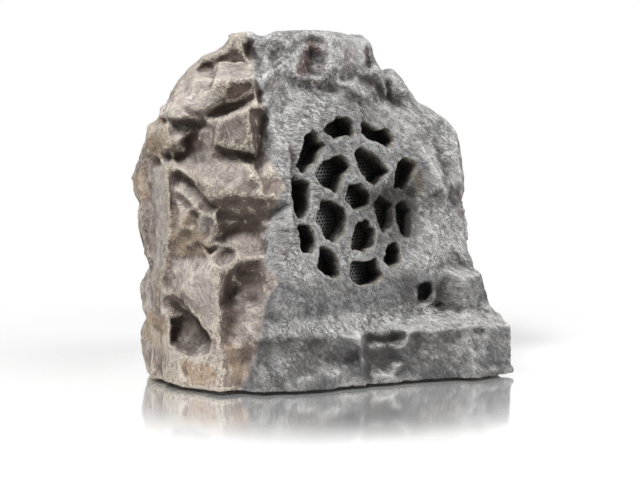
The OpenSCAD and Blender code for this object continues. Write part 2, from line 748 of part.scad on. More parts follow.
module light_pipe()
    color([0.85, 0.88, 0.9]) on_back() translate([lens_spot[0], lens_spot[1], 0]) {
        rod(lens_r, panel_back, panel_front + 0.5);
        rod(lens_r + 1, panel_back - 1.5, panel_back);
        rod(lens_r - 0.5, control_board_z + 1.6, panel_back - 1.5);
    }

module dc_jack()
    color([0.08, 0.08, 0.08]) on_back() translate([dc_x, bay_y, 0]) {
        difference() {
            union() {
                box(11, 11, control_board_z, bay_floor - bay_wall - 0.1);
                rod(dc_neck_r, control_board_z, jack_neck_z);
            }
            rod(dc_r, jack_neck_z - 9, jack_neck_z + cut);
        }
        rod(dc_pin_r, jack_neck_z - 10, jack_neck_z - 1);
    }

module aux_jack()
    color([0.08, 0.08, 0.08]) on_back() translate([aux_x, bay_y, 0]) difference() {
        union() {
            box(9, 9, control_board_z, bay_floor - bay_wall - 0.1);
            rod(aux_neck_r, control_board_z, jack_neck_z);
        }
        rod(aux_r, control_board_z + 1, jack_neck_z + cut);
    }

module control_lead()
    color([0.25, 0.25, 0.27]) lead([
        back_point([-30, 0, control_board_z - board_t]),
        back_point([-30, 0, control_board_z - board_t - 8]),
        back_point([-40, -44, control_board_z - 16]),
        [control_plug[0], control_plug[1], board_top + plug_h + 20],
        [control_plug[0], control_plug[1], board_top + plug_h]
    ], 2.2);

// A round cap with a flange that keeps it in the panel, and a stem down to its switch.
// The places run from 0 on the left to 3 on the right, seen from behind.
module button_cap(place)
    on_back() translate([button_xs[place], button_y, 0]) {
        rod(button_r, button_flange_z - button_flange_t, panel_front + button_proud);
        rod(button_r + 1.5, button_flange_z - button_flange_t, button_flange_z);
        rod(2.5, plunger_top, button_flange_z - button_flange_t);
    }

module button_plunger(place)
    on_back() translate([button_xs[place], button_y, 0])
        rod(plunger_r, plunger_top - button_travel - 1.5, plunger_top);

module port_cover()
    color([0.09, 0.09, 0.1]) on_back() difference() {
        union() {
            translate([bay_x - cover_w / 2, cover_bottom, hinge_z - cover_t])
                cube([cover_w, hinge_y - cover_bottom - knuckle_r - 0.6, cover_t]);
            translate([bay_x - knuckle_w / 2, hinge_y - knuckle_r - 1, hinge_z - cover_t])
                cube([knuckle_w, knuckle_r + 1, cover_t]);
            translate([bay_x, hinge_y, hinge_z]) rotate([0, 90, 0])
                rod(knuckle_r, -knuckle_w / 2, knuckle_w / 2);
        }
        translate([bay_x, hinge_y, hinge_z]) rotate([0, 90, 0]) rod(pin_r + 0.05, -cover_w, cover_w);
    }

// A plug ring that fills the mouth of the bay, under the cover
module port_cover_seal()
    color([0.05, 0.05, 0.05]) on_back() difference() {
        box(bay_w - 1.2, bay_h - 1.2, hinge_z - cover_t - 2.5, hinge_z - cover_t, [bay_x, bay_y]);
        box(bay_w - 5, bay_h - 5, hinge_z - cover_t - 4, hinge_z, [bay_x, bay_y]);
    }

module hinge_pin()
    color([0.78, 0.78, 0.8]) on_back() translate([bay_x, hinge_y, hinge_z]) rotate([0, 90, 0])
        rod(pin_r, -cover_w / 2 + 0.8, cover_w / 2 - 0.8);

rock_shell();
base_plate();
base_gasket();
base_screws();
rubber_feet();
grille_mesh();
driver_gasket();
driver_basket();
driver_screws();
cone_surround();
driver_cone();
dust_cap();
voice_coil_former();
voice_coil();
spider();
top_plate();
ferrite_magnet();
back_plate();
terminal_strip();
driver_lead();
amp_board();
amp_board_screws();
amp_heatsink();
amp_capacitors();
amp_chips();
bluetooth_module();
lead_connectors();
battery_holder();
battery_screws();
battery_cell(1);  // battery_cell_1
battery_cell(2);  // battery_cell_2
battery_cell(3);  // battery_cell_3
battery_cell(4);  // battery_cell_4
battery_lead();
control_panel();
panel_gasket();
panel_screws();
control_board();
control_board_screws();
tact_switches();
status_led();
light_pipe();
dc_jack();
aux_jack();
control_lead();
color([0.75, 0.2, 0.15]) button_cap(0);  // power_button
color([0.9, 0.9, 0.88]) button_plunger(0);  // power_plunger
color([0.2, 0.3, 0.6]) button_cap(1);  // pair_button
color([0.9, 0.9, 0.88]) button_plunger(1);  // pair_plunger
color([0.2, 0.2, 0.21]) button_cap(2);  // volume_down_button
color([0.9, 0.9, 0.88]) button_plunger(2);  // volume_down_plunger
color([0.2, 0.2, 0.21]) button_cap(3);  // volume_up_button
color([0.9, 0.9, 0.88]) button_plunger(3);  // volume_up_plunger
port_cover();
port_cover_seal();
hinge_pin();
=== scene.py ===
import math

import bmesh
import bpy
import numpy as np
from mathutils import Matrix, Vector
from mathutils.bvhtree import BVHTree
from mathutils.geometry import delaunay_2d_cdt


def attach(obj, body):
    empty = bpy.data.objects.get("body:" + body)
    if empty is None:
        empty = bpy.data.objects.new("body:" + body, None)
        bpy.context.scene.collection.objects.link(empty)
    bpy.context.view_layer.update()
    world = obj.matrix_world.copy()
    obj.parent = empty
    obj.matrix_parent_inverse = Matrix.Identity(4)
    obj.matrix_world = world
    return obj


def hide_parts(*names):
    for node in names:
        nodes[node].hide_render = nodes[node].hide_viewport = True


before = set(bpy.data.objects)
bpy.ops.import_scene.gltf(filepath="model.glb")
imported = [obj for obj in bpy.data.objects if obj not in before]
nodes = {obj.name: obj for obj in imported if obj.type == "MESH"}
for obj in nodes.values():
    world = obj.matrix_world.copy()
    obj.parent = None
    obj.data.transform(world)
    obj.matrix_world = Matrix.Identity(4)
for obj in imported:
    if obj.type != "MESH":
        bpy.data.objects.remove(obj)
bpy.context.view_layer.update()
print("frame loaded:", len(nodes), "nodes")

camera = {"azimuth": -38, "elevation": 6, "distance": 1.3, "target": (-0.030, -0.043, 0.120),
          "lens": 90, "sensor": 36}   # degrees, metres and millimetres of lens


def addCamera(settings):
    azimuth = math.radians(settings["azimuth"])
    elevation = math.radians(settings["elevation"])
    level = math.cos(elevation)
    ahead = Vector((-math.sin(azimuth) * level, math.cos(azimuth) * level, -math.sin(elevation)))
    target = Vector(settings["target"])
    data = bpy.data.cameras.new("camera")
    data.lens = settings["lens"]
    data.sensor_width = settings["sensor"]
    obj = bpy.data.objects.new("camera", data)
    obj.location = target - ahead * settings["distance"]
    obj.rotation_euler = ahead.to_track_quat("-Z", "Y").to_euler()
    bpy.context.collection.objects.link(obj)
    bpy.context.scene.camera = obj


addCamera(camera)

# The rock is shaped in mm and made metres at the end
mm = 0.001
startCube = 900
rightward = Vector((0.788, -0.616, 0.0))   # across the flank, as seen from its own side
inward = Vector((0.616, 0.788, 0.0))       # into the rock from that side
acrossAxis, inwardAxis = np.array(rightward), np.array(inward)


def newObject(name, bm):
    mesh = bpy.data.meshes.new(name)
    bm.to_mesh(mesh)
    bm.free()
    obj = bpy.data.objects.new(name, mesh)
    bpy.context.collection.objects.link(obj)
    return obj


def dropObject(obj):
    mesh = obj.data
    bpy.data.objects.remove(obj)
    bpy.data.meshes.remove(mesh)


def bakeModifiers(obj):
    graph = bpy.context.evaluated_depsgraph_get()
    mesh = bpy.data.meshes.new_from_object(obj.evaluated_get(graph))
    old = obj.data
    obj.modifiers.clear()
    obj.data = mesh
    bpy.data.meshes.remove(old)


def facing(heading, tilt):
    a, t = math.radians(heading), math.radians(tilt)
    return Vector((math.cos(a) * math.cos(t), math.sin(a) * math.cos(t), math.sin(t)))


# A convex block: what is left of a big cube behind every (normal, point)
def slicedBlock(planes):
    bm = bmesh.new()
    bmesh.ops.create_cube(bm, size=startCube)
    for normal, point in planes:
        geom = bm.verts[:] + bm.edges[:] + bm.faces[:]
        result = bmesh.ops.bisect_plane(bm, geom=geom, plane_co=point, plane_no=normal,
                                        clear_outer=True)
        edges = [g for g in result["geom_cut"] if isinstance(g, bmesh.types.BMEdge)]
        if edges:
            bmesh.ops.edgeloop_fill(bm, edges=edges)
    bmesh.ops.recalc_face_normals(bm, faces=bm.faces[:])
    return bm


def joined(name, blocks):
    whole = bmesh.new()
    for bm in blocks:
        mesh = bpy.data.meshes.new("part")
        bm.to_mesh(mesh)
        bm.free()
        whole.from_mesh(mesh)
        bpy.data.meshes.remove(mesh)
    return newObject(name, whole)


def remeshed(obj, size):
    mod = obj.modifiers.new("remesh", "REMESH")
    mod.mode = "VOXEL"
    mod.voxel_size = size
    bakeModifiers(obj)


def carved(obj, cutters):
    for bm in cutters:
        tool = newObject("cutter", bm)
        mod = obj.modifiers.new("carve", "BOOLEAN")
        mod.operation = "DIFFERENCE"
        mod.solver = "MANIFOLD"
        mod.object = tool
        bakeModifiers(obj)
        dropObject(tool)


# Each mass is what lies behind its planes, [heading, upward tilt, a point], moved in by its inset
rockMasses = {
    "core": {"inset": 0, "planes": [
        [254, 5, (-95, -50, 57)], [232, 7, (-72, -48, 155)], [206, 1, (-113, -12, 120)],
        [180, -2, (-132, 60, 130)], [142, 21, (-132, 80, 163)], [148, -6, (-130, 84, 150)],
        [125, 10, (-96, 84, 120)], [50, 10, (95, 78, 120)], [0, 4, (127, 0, 120)],
        [318, 9, (120, -50, 150)], [168, 38, (-112, 64, 238)], [195, 58, (-80, 64, 265)],
        [120, 62, (-60, 52, 280)], [250, 78, (-10, 0, 286)], [322, 46, (109, -42, 200)],
        [60, 50, (30, 66, 262)], [205, -20, (-113, 29, 0)], [165, -24, (-112, 75, 0)]]},
    "ledge": {"inset": 1, "planes": [
        [254, 5, (-99, -49, 0)], [235, 14, (-99, -49, 20)], [200, 6, (-104, -20, 10)],
        [318, 2, (130, -104, 20)], [345, 2, (139, -60, 20)], [90, 80, (0, -50, 50)],
        [90, 0, (0, 60, 0)], [254, 62, (0, -74, 44)], [322, 50, (129, -96, 47)]]},
    "boulder": {"inset": 1, "planes": [
        [270, 25, (110, -85, 60)], [330, 12, (132, -67, 60)], [60, 75, (100, -50, 87)],
        [270, 75, (105, -76, 84)], [200, 20, (83, -60, 60)], [90, 0, (0, -20, 0)],
        [330, 50, (134, -66, 79)]]},
    "crown": {"inset": 1, "planes": [
        [257, 12, (-15, -36, 250)], [322, 14, (44, -34, 255)], [200, 8, (-50, -22, 262)],
        [270, -50, (0, -37, 230)], [90, 0, (0, 20, 260)], [300, 76, (10, -10, 289)],
        [215, 60, (-40, -22, 284)]]},
    "shelf": {"inset": 0, "planes": [
        [232, 8, (-101, 1, 240)], [232, 80, (-100, 2, 252)], [160, 15, (-102, 54, 240)],
        [322, 5, (-61, -3, 240)], [52, 0, (25, 32, 240)], [232, -65, (-101, 1, 224)]]},
    "peak": {"inset": 0, "planes": [
        [232, 12, (-67, 12, 270)], [150, 20, (-62, 48, 275)], [142, 80, (-47, 37, 288)],
        [300, 35, (-52, 15, 277)], [52, 30, (-29, 61, 280)], [232, -80, (-66, 13, 252)]]},
    "lowPeak": {"inset": 0, "planes": [
        [232, 15, (-98, 31, 258)], [142, 70, (-76, 59, 267)], [160, 30, (-88, 69, 258)],
        [322, 0, (-61, 48, 250)], [52, 20, (-57, 83, 262)], [232, -80, (-98, 31, 244)]]},
    "bulge": {"inset": 0, "planes": [
        [232, 34, (-103, -33, 163)], [232, -36, (-103, -33, 155)], [178, 20, (-123, -10, 165)],
        [292, 10, (-79, -49, 165)], [52, 0, (-72, 5, 165)]]},
    "tall": {"inset": 0, "planes": [
        [232, 3, (-104, -28, 210)], [160, 66, (-104, -28, 224)], [142, 12, (-112, -13, 210)],
        [322, 8, (-88, -32, 210)], [226, -55, (-104, -28, 195)], [52, 0, (-72, 5, 210)]]},
    "wide": {"inset": 0, "planes": [
        [232, -6, (-100, -26, 242)], [232, 74, (-100, -26, 252)], [142, 15, (-112, -6, 240)],
        [322, 10, (-84, -31, 240)], [240, -55, (-100, -26, 232)], [52, 0, (-72, 5, 240)]]},
    "corner": {"inset": 0, "planes": [
        [262, 4, (-118, -24, 50)], [196, 3, (-118, -24, 50)], [232, 50, (-117, -23, 102)],
        [52, 0, (-90, 9, 50)]]},
    "spur": {"inset": 0, "planes": [
        [232, 10, (50, -33, 250)], [322, 30, (68, -27, 254)], [142, 75, (64, -25, 259)],
        [52, 40, (78, 2, 252)], [142, 0, (44, -9, 250)], [322, -70, (68, -27, 234)]]},
    "rib": {"inset": 1, "planes": [
        [180, -2, (-131.5, 60, 130)], [142, 10, (-131, 88, 167)], [142, -3, (-131.5, 81, 60)],
        [168, 38, (-110, 64, 231)], [206, 1, (-113, -12, 120)], [90, 8, (0, 95, 122)],
        [0, 0, (-90, 0, 0)], [100, 80, (-110, 30, 238)], [232, 7, (-72, -48, 155)],
        [254, 5, (-95, -50, 57)], [205, -20, (-116, 25, 0)], [165, -24, (-122, 78, 0)]]},
    "cheek": {"inset": 1, "planes": [
        [226, 14, (-80, -52, 165)], [252, 4, (-74, -52, 165)], [226, 62, (-86, -42, 198)],
        [235, -42, (-84, -46, 132)], [160, 10, (-112, -15, 165)], [20, 0, (-66, -40, 165)],
        [46, 0, (-80, -20, 165)]]},
    "shoulder": {"inset": 1, "planes": [
        [270, 10, (100, -53, 190)], [325, 9, (122, -50, 180)], [318, 52, (104, -46, 226)],
        [222, 22, (90, -53, 190)], [280, -42, (105, -53, 152)], [60, 0, (104, -20, 190)],
        [180, 0, (70, 0, 0)]]},
}
rockLevels = {"foot": 2, "top": 289.6, "halfWidth": 131.6, "halfDepth": 111.6,
              "faceTilt": 9, "backTilt": 8, "frontDepth": 20, "wall": 15, "flankWall": 28,
              "sideWall": 12, "leastWall": 4.5, "push": 1.2, "cavityFloor": 14, "baseCut": (-5, 28),
              "baseFade": (37, 33)}
rockMesh = {"voxel": 1.5, "quickVoxel": 2.25, "lastShare": 0.95, "mostFaces": 196000}
tunnel = {"radius": 84.5, "middle": -35, "halfDepth": 15, "corners": 64}   # behind the openings
axisPoint = Vector((4, -48, 151))
panelPoint = Vector((0, 96, 122))
faceNormal = facing(270, rockLevels["faceTilt"])
backNormal = facing(90, rockLevels["backTilt"])
rockBox = [(facing(0, 0), Vector((rockLevels["halfWidth"], 0, 0))),
           (facing(180, 0), Vector((-rockLevels["halfWidth"], 0, 0))),
           (facing(90, 0), Vector((0, rockLevels["halfDepth"], 0))),
           (facing(270, 0), Vector((0, -rockLevels["halfDepth"], 0))),
           (Vector((0, 0, 1)), Vector((0, 0, rockLevels["top"]))),
           (Vector((0, 0, -1)), Vector((0, 0, rockLevels["foot"])))]


def massPlanes(name, inset):
    planes = []
    for heading, tilt, point in rockMasses[name]["planes"]:
        normal = facing(heading, tilt)
        planes.append((normal, Vector(point) - normal * inset))
    return planes


def rockBlocks():
    blocks = []
    for name, mass in rockMasses.items():
        planes = massPlanes(name, mass["inset"])
        if name == "core":
            planes += [(faceNormal, axisPoint), (backNormal, panelPoint)]
        blocks.append(slicedBlock(planes + rockBox))
    return blocks


# Ridges and valleys of the flank and the front. Every corner is (across, height, proud) in mm:
# where it lies as seen from the flank's side, and how far it stands proud of the masses. Corners
# that follow each other are joined by an edge.
creases = {
    "peakLeft": [(-68, 288, 0), (-72, 280, 0), (-78, 270, -1), (-92, 264, -2), (-108, 256, -2)],
    "peakFace": [(-59, 288, 1), (-61, 279, 1), (-60, 270, 1), (-52, 263, 0), (-49, 255, -1)],
    "peakEdge": [(-52, 284, 0), (-49, 273, 0), (-42, 269, 0), (-40, 261, -1), (-38, 250, -2)],
    "peakPits": [(-55, 273, -6), (-46, 263, -5)],
    "strokeA": [(-80, 268, -1), (-82, 262, -3), (-83, 256, -1)],
    "strokeB": [(-76, 270, -1), (-77, 263, -4), (-79, 257, -1)],
    "strokeC": [(-69, 274, 0), (-70, 266, -3), (-71, 259, -1)],
    "shelfFront": [(-107, 250, 1), (-95, 250, 0), (-83, 251, 1), (-66, 250, 0), (-50, 251, 1),
                   (-47, 246, 0)],
    "shelfBack": [(-112, 256, -2), (-104, 259, -5), (-96, 258, -6), (-83, 260, -5), (-70, 260, -6),
                  (-60, 257, -5), (-50, 254, -3)],
    "scallop": [(-108, 254, -8), (-101, 256, -9)],
    "wideLeft": [(-114, 249, 1), (-124, 239, 0), (-131, 229, 0)],
    "wideDiagonal": [(-124, 239, 0), (-113, 232, 1), (-107, 227, 1), (-101, 223, 0),
                     (-90, 219, -3), (-79, 228, 1)],
    "wideMiddle": [(-83, 251, 1), (-77, 248, 1), (-76, 238, 2), (-79, 228, 1)],
    "wideFoot": [(-79, 227, -1), (-78, 224, -4), (-63, 229, -5), (-48, 236, -5), (-41, 240, -3)],
    "wideLip": [(-79, 229, 1), (-63, 232, -1), (-47, 240, -1), (-47, 246, 0)],
    "chip": [(-131, 221, 0), (-121, 221, 2), (-111, 217, 2), (-102, 218, 2), (-101, 223, 0)],
    "underChip": [(-131, 217, -6), (-122, 216, -5), (-112, 213, -5), (-104, 214, -6),
                  (-92, 214, -7)],
    "tallTop": [(-79, 219, 1), (-66, 223, 2), (-51, 228, 4), (-40, 229, 1)],
    "tallRidge": [(-51, 228, 4), (-52, 213, 4), (-49, 204, 3), (-50, 193, 2)],
    "tallLeft": [(-79, 219, 1), (-80, 210, 1), (-82, 200, 0)],
    "tallRight": [(-40, 229, 1), (-39, 217, -5), (-42, 204, -6), (-46, 190, -6)],
    "tallFoot": [(-82, 200, 0), (-71, 197, 2), (-58, 194, 3), (-50, 193, 2), (-46, 190, -6)],
    "tallShade": [(-80, 196, -4), (-63, 190, -5), (-48, 187, -5)],
    "stripTop": [(-37, 230, -1), (-37, 213, 0), (-31, 206, 0), (-29, 195, 1)],
    "vLeft": [(-107, 212, -3), (-107, 204, -2), (-114, 193, -2), (-116, 187, -4)],
    "vDeep": [(-98, 210, -6), (-103, 201, -9), (-102, 191, -10), (-98, 184, -7)],
    "vFan": [(-80, 210, 1), (-88, 208, -3), (-92, 194, -6), (-94, 183, -5)],
    "vFoot": [(-115, 186, -4), (-106, 181, -4), (-98, 180, -3), (-89, 183, -2), (-83, 194, -1)],
    "bulgeTop": [(-82, 194, -1), (-63, 189, 1), (-50, 184, 2), (-43, 175, 2), (-37, 166, 1),
                 (-35, 158, 1), (-31, 151, -1)],
    "bulgeRim": [(-51, 173, 4), (-43, 169, 3), (-41, 157, 2), (-36, 151, 0)],
    "bulgeCrest": [(-94, 172, 1), (-82, 171, 2), (-68, 167, 3), (-58, 160, 2), (-48, 152, 0)],
    "bulgeFoot": [(-92, 163, -1), (-79, 149, -1), (-62, 146, -2), (-45, 145, -3), (-31, 149, -3)],
    "bulgeShade": [(-76, 143, -5), (-60, 139, -7), (-46, 138, -6), (-36, 142, -4)],
    "beakUpper": [(-110, 178, 0), (-101, 171, 1), (-92, 163, 0)],
    "beakShade": [(-109, 171, -7), (-99, 163, -8), (-93, 157, -6)],
    "beakLower": [(-108, 159, 0), (-102, 155, 1), (-96, 150, 1), (-91, 146, 0)],
    "beakUnder": [(-108, 154, -4), (-101, 149, -4), (-97, 144, -3)],
    "ribTopEdge": [(-139, 212, 0), (-131, 218, 0), (-121, 219, 1)],
    "ribTopRidge": [(-121, 219, 1), (-121, 211, 2), (-120, 203, 3), (-119, 196, 2)],
    "ribTopFoot": [(-112, 196, 0), (-119, 192, -1), (-128, 187, -2), (-137, 183, -3)],
    "ribTopShade": [(-112, 188, -7), (-119, 187, -8), (-128, 182, -7), (-136, 177, -6)],
    "innerTop": [(-141, 171, -3), (-136, 177, -3), (-127, 183, 0), (-121, 180, 1),
                 (-117, 175, -1)],
    "innerRidge": [(-122, 179, 1), (-122, 163, 3), (-121, 140, 3), (-121, 124, 2), (-122, 112, 1),
                   (-126, 97, 2), (-131, 82, 2), (-132, 66, 1)],
    "innerLeft": [(-141, 168, -3), (-136, 155, -4), (-132, 140, -3), (-135, 125, -4),
                  (-134, 105, -3), (-140, 90, -4), (-136, 74, -3)],
    "innerRight": [(-116, 162, -2), (-113, 142, -3), (-117, 122, -2), (-115, 108, -3)],
    "outerRidge": [(-143, 190, -1), (-147, 166, 0), (-145, 145, 0), (-147, 125, 0),
                   (-145, 105, -1), (-142, 93, -2)],
    "columnRidge": [(-99, 153, 0), (-99, 147, 1), (-94, 143, 1), (-94, 132, 2), (-95, 120, 1),
                    (-86, 108, 1)],
    "columnMiddle": [(-110, 146, 0), (-110, 133, 1), (-107, 118, 0), (-110, 106, -2)],
    "greyFacet": [(-91, 144, 2), (-79, 141, 2), (-80, 133, 1), (-91, 134, 2)],
    "knobPit": [(-88, 127, 1), (-86, 118, 2), (-86, 112, -5), (-91, 110, -4)],
    "armpit": [(-75, 134, -5), (-71, 126, -6), (-66, 113, -5)],
    "armpitLedge": [(-82, 124, 0), (-73, 119, 0), (-64, 116, -2)],
    "armpitRight": [(-57, 130, -6), (-46, 124, -4), (-41, 116, -3)],
    "paleLeft": [(-86, 108, 1), (-82, 99, 2), (-78, 90, 2), (-78, 78, 1), (-81, 68, 0)],
    "paleRight": [(-64, 107, 0), (-72, 96, 1), (-77, 82, 1), (-78, 68, 1), (-74, 66, 0),
                  (-79, 50, 1), (-79, 34, 1)],
    "paleMiddle": [(-98, 96, 2), (-106, 82, 3), (-92, 73, 1)],
    "paleEdge": [(-118, 99, -2), (-121, 86, -2), (-123, 74, -1)],
    "caveTop": [(-129, 68, 0), (-124, 75, 1), (-116, 77, 0), (-108, 74, 1), (-99, 63, 1),
                (-91, 55, 1), (-83, 43, 0)],
    "caveRoof": [(-122, 64, -4), (-113, 66, -8), (-104, 58, -14), (-93, 50, -14)],
    "caveDeep": [(-114, 48, -22), (-104, 50, -25), (-94, 46, -22), (-92, 38, -20), (-104, 37, -24),
                 (-112, 40, -22)],
    "caveLip": [(-120, 35, 1), (-110, 31, 2), (-97, 29, 2), (-86, 33, 1), (-83, 43, 0)],
    "caveWall": [(-129, 68, 0), (-121, 56, -1), (-117, 49, -2), (-119, 42, -1), (-120, 35, 1)],
    "footEdge": [(-123, 29, 2), (-115, 20, 2), (-108, 10, 1)],
    "footBack": [(-147, 48, 0), (-140, 57, 0), (-137, 74, -4)],
    "footBand": [(-109, 29, 1), (-107, 14, 0), (-95, 8, 0)],
    "bowlDeep": [(-60, 97, -6), (-52, 90, -7), (-50, 74, -7), (-60, 68, -7), (-69, 79, -8)],
    "bowlMiddle": [(-58, 84, -8)],
    "stripLeft": [(-31, 149, -1), (-35, 138, 0), (-38, 127, 1), (-40, 110, 1), (-37, 98, 0),
                  (-31, 91, 0), (-21, 86, 0)],
    "stripRight": [(-29, 206, 0), (-29, 194, 1), (-21, 173, 2), (-20, 152, 2), (-20, 138, 2),
                   (-23, 122, 2), (-25, 104, 1), (-21, 86, 0)],
    "cornerRidge": [(-74, 66, 0), (-79, 50, 1), (-78, 37, 2), (-74, 20, 2), (-66, 5, 1)],
    "cornerFacets": [(-66, 50, -3), (-58, 41, 0), (-64, 28, 1), (-50, 30, -2), (-52, 14, 1)],
    "cornerTop": [(-46, 62, -2), (-41, 46, -1), (-28, 38, 0), (-24, 20, 1), (-20, 5, 0)],
    "footCrest": [(-46, 64, -1), (-32, 70, 2), (-12, 64, 2), (-2, 56, 0)],
    "footSlope": [(-34, 52, 0), (-18, 46, 1)],
    "buttressTop": [(-13, 285, 0), (-1, 288, 2), (8, 286, 2)],
    "buttressLeft": [(-12, 284, 0), (-14, 270, -1), (-19, 254, 0)],
    "buttressGroove": [(-4, 280, -1), (-3, 268, -4), (-4, 256, -3)],
    "buttressRight": [(8, 286, 3), (12, 272, 5), (9, 260, 5), (14, 249, 2)],
    "buttressFoot": [(-18, 254, 2), (-4, 250, 2), (7, 252, 3), (14, 249, 1)],
    "buttressUnder": [(-16, 245, -2), (-3, 241, -1), (10, 243, -2)],
    "crownHollow": [(-32, 279, -5), (-36, 264, -6), (-30, 250, -4), (-26, 236, -3)],
    "crownDip": [(-38, 289, -1), (-30, 289, -2), (-22, 289, 0)],
    "crownRib": [(16, 288, 0), (24, 273, 2), (29, 260, 1), (26, 250, -2)],
    "crownEdge": [(40, 285, 0), (41, 268, 1), (39, 259, 0)],
    "crownNotch": [(43, 273, -9), (44, 263, -9)],
    "crownKnob": [(47, 274, 0), (51, 263, 0), (45, 257, 0)],
    "grooveLeft": [(30, 244, 2), (48, 229, 2), (68, 222, 2)],
    "groove": [(34, 252, -1), (44, 246, -4), (54, 238, -6), (66, 229, -3)],
    "grooveRight": [(51, 257, 1), (64, 249, 2), (78, 238, 2)],
    "shoulderEdge": [(84, 238, 0), (86, 223, 1), (100, 220, 1), (118, 213, 1)],
    "shoulderRib": [(80, 221, 2), (84, 203, 3), (95, 183, 3), (106, 165, 3), (111, 141, 2),
                    (115, 112, 1)],
    "shoulderStreak": [(104, 213, -1), (101, 197, -3), (109, 168, -3), (114, 150, -2)],
    "rightEdge": [(119, 210, 1), (120, 182, 2), (125, 156, 1), (128, 130, 0)],
    "cheekFacet": [(80, 177, 0), (96, 169, 0), (93, 155, -3), (84, 156, -4)],
    "boulderTop": [(97, 82, 1), (110, 87, 2), (124, 85, 1), (131, 90, 2), (139, 84, 1),
                   (145, 74, 1)],
    "boulderBack": [(96, 87, 0), (110, 92, -1), (126, 91, -1)],
    "boulderFace": [(104, 72, 1), (118, 76, 2), (128, 66, 0), (134, 78, 2)],
    "boulderFoot": [(100, 63, 1), (116, 61, 1), (134, 60, 1)],
    "boulderUnder": [(96, 59, -1), (114, 56, -2), (136, 55, -2)],
    "notchRim": [(83, 78, 0), (97, 79, 2), (98, 63, 2), (84, 61, 0), (83, 78, 0)],
    "notch": [(86, 75, -8), (94, 75, -8), (95, 65, -8), (87, 64, -8)],
    "wallTop": [(-20, 44, 0), (-9, 46, 1), (8, 46, 2), (23, 43, 3), (37, 38, 4)],
    "wallStep": [(35, 52, 0), (37, 38, 4), (38, 22, 4), (38, 6, 3)],
    "wallGap": [(41, 42, -3), (42, 24, -3), (42, 7, -2)],
    "wallScoop": [(4, 28, -2), (20, 22, -2), (10, 12, 1), (30, 10, 0)],
    "wallFacet": [(22, 30, 1), (33, 26, -1), (33, 14, 1)],
    "ledgeTop": [(43, 48, 1), (53, 49, 3), (64, 50, 3), (75, 45, 2), (87, 47, 3), (91, 52, 3),
                 (103, 54, 3), (129, 51, 3), (139, 49, 2), (150, 46, 0)],
    "ledgeBrow": [(46, 55, -1), (62, 57, -1), (78, 54, -2), (90, 58, -1)],
    "ledgeScallop": [(47, 36, -5), (58, 22, -7), (64, 36, -5)],
    "ledgeRim": [(75, 45, 3), (72, 32, 4), (74, 20, 3), (60, 10, 1), (46, 8, 0)],
    "ledgeFacets": [(82, 38, 0), (94, 32, 2), (82, 16, -1), (104, 20, 1), (118, 38, -1),
                    (124, 26, 1)],
    "ledgeScoop": [(128, 42, 1), (138, 30, 1), (139, 20, 2)],
    "ledgeEnd": [(134, 38, -2), (144, 42, 1), (146, 24, 1), (143, 8, 0)],
}


# Highest point at each place across
skylinePoints = [(-140, 260), (-112, 262), (-92, 268), (-76, 283), (-66, 288), (-53, 286),
                 (-44, 284), (-33, 289), (-13, 290), (11, 289), (31, 289), (41, 286), (44, 274),
                 (47, 263), (54, 254), (64, 257), (72, 248), (84, 229), (100, 221), (114, 213),
                 (124, 196), (140, 170)]
# Furthest left at each height
leftPoints = [(0, -142), (17, -145), (32, -150), (42, -146), (49, -143), (57, -146), (74, -148),
              (84, -143), (93, -138), (106, -143), (126, -148), (147, -146), (155, -152),
              (167, -156), (180, -151), (193, -145), (201, -141), (212, -142), (219, -130),
              (224, -133), (240, -123), (257, -108), (266, -94), (290, -80)]
# Where the grey front begins, across, at each height
frontEdge = [(0, -62), (40, -46), (75, -40), (92, -30), (105, -40), (125, -42), (150, -33),
             (168, -24), (190, -40), (230, -42), (262, -52), (290, -58)]
creaseShape = {"proudGain": 2.2, "sunkGain": 1.9, "deepest": -22, "highest": 12, "sheet": 0.4,
               "wobble": ((1.4, 9, 81), (0.6, 4, 82)),
               "flankGain": 1.45, "frontLoss": 0.45, "flankHighest": 16,
               "facing": (0.1, 0.42), "farGain": 0.7, "farDeepest": -9, "farSlide": -18,
               "farTurn": (-0.9, -0.9, 1.0), "finHeight": (4.5, 7.0)}


def creaseTree():
    corners, edges = [], []
    for line in creases.values():
        start = len(corners)
        corners += line
        edges += [(start + i, start + i + 1) for i in range(len(line) - 1)]
    # flat corners in a ring well outside the rock
    for across in range(-180, 181, 60):
        corners += [(across, -20, 0), (across, 320, 0)]
    for height in range(20, 320, 60):
        corners += [(-180, height, 0), (180, height, 0)]
    flat = [Vector(c[:2]) for c in corners]
    verts, _, faces, sources, _, _ = delaunay_2d_cdt(flat, edges, [], 0, creaseShape["sheet"])
    heights = []
    for source in sources:
        heights.append(sum(corners[i][2] for i in source) / len(source) if source else 0.0)
    points = [Vector((v.x, v.y, h)) for v, h in zip(verts, heights)]
    return BVHTree.FromPolygons(points, faces)


# How far the creased surface stands proud at each point
def creasedRise(points):
    shape = creaseShape
    tree = creaseTree()
    across, height = points @ acrossAxis, points[:, 2]
    for reach, size, seed in shape["wobble"]:
        across = across + reach * smoothNoise(points, size, seed)
        height = height + reach * smoothNoise(points, size, seed + 2)
    rise = np.zeros(len(points))
    for i, (a, h) in enumerate(zip(across, height)):
        hit = tree.ray_cast(Vector((a, h, 100)), Vector((0, 0, -1)))[0]
        if hit is not None:
            rise[i] = hit.z
    gain = np.where(rise > 0, shape["proudGain"], shape["sunkGain"])
    return np.clip(gain * rise, shape["deepest"], shape["highest"])


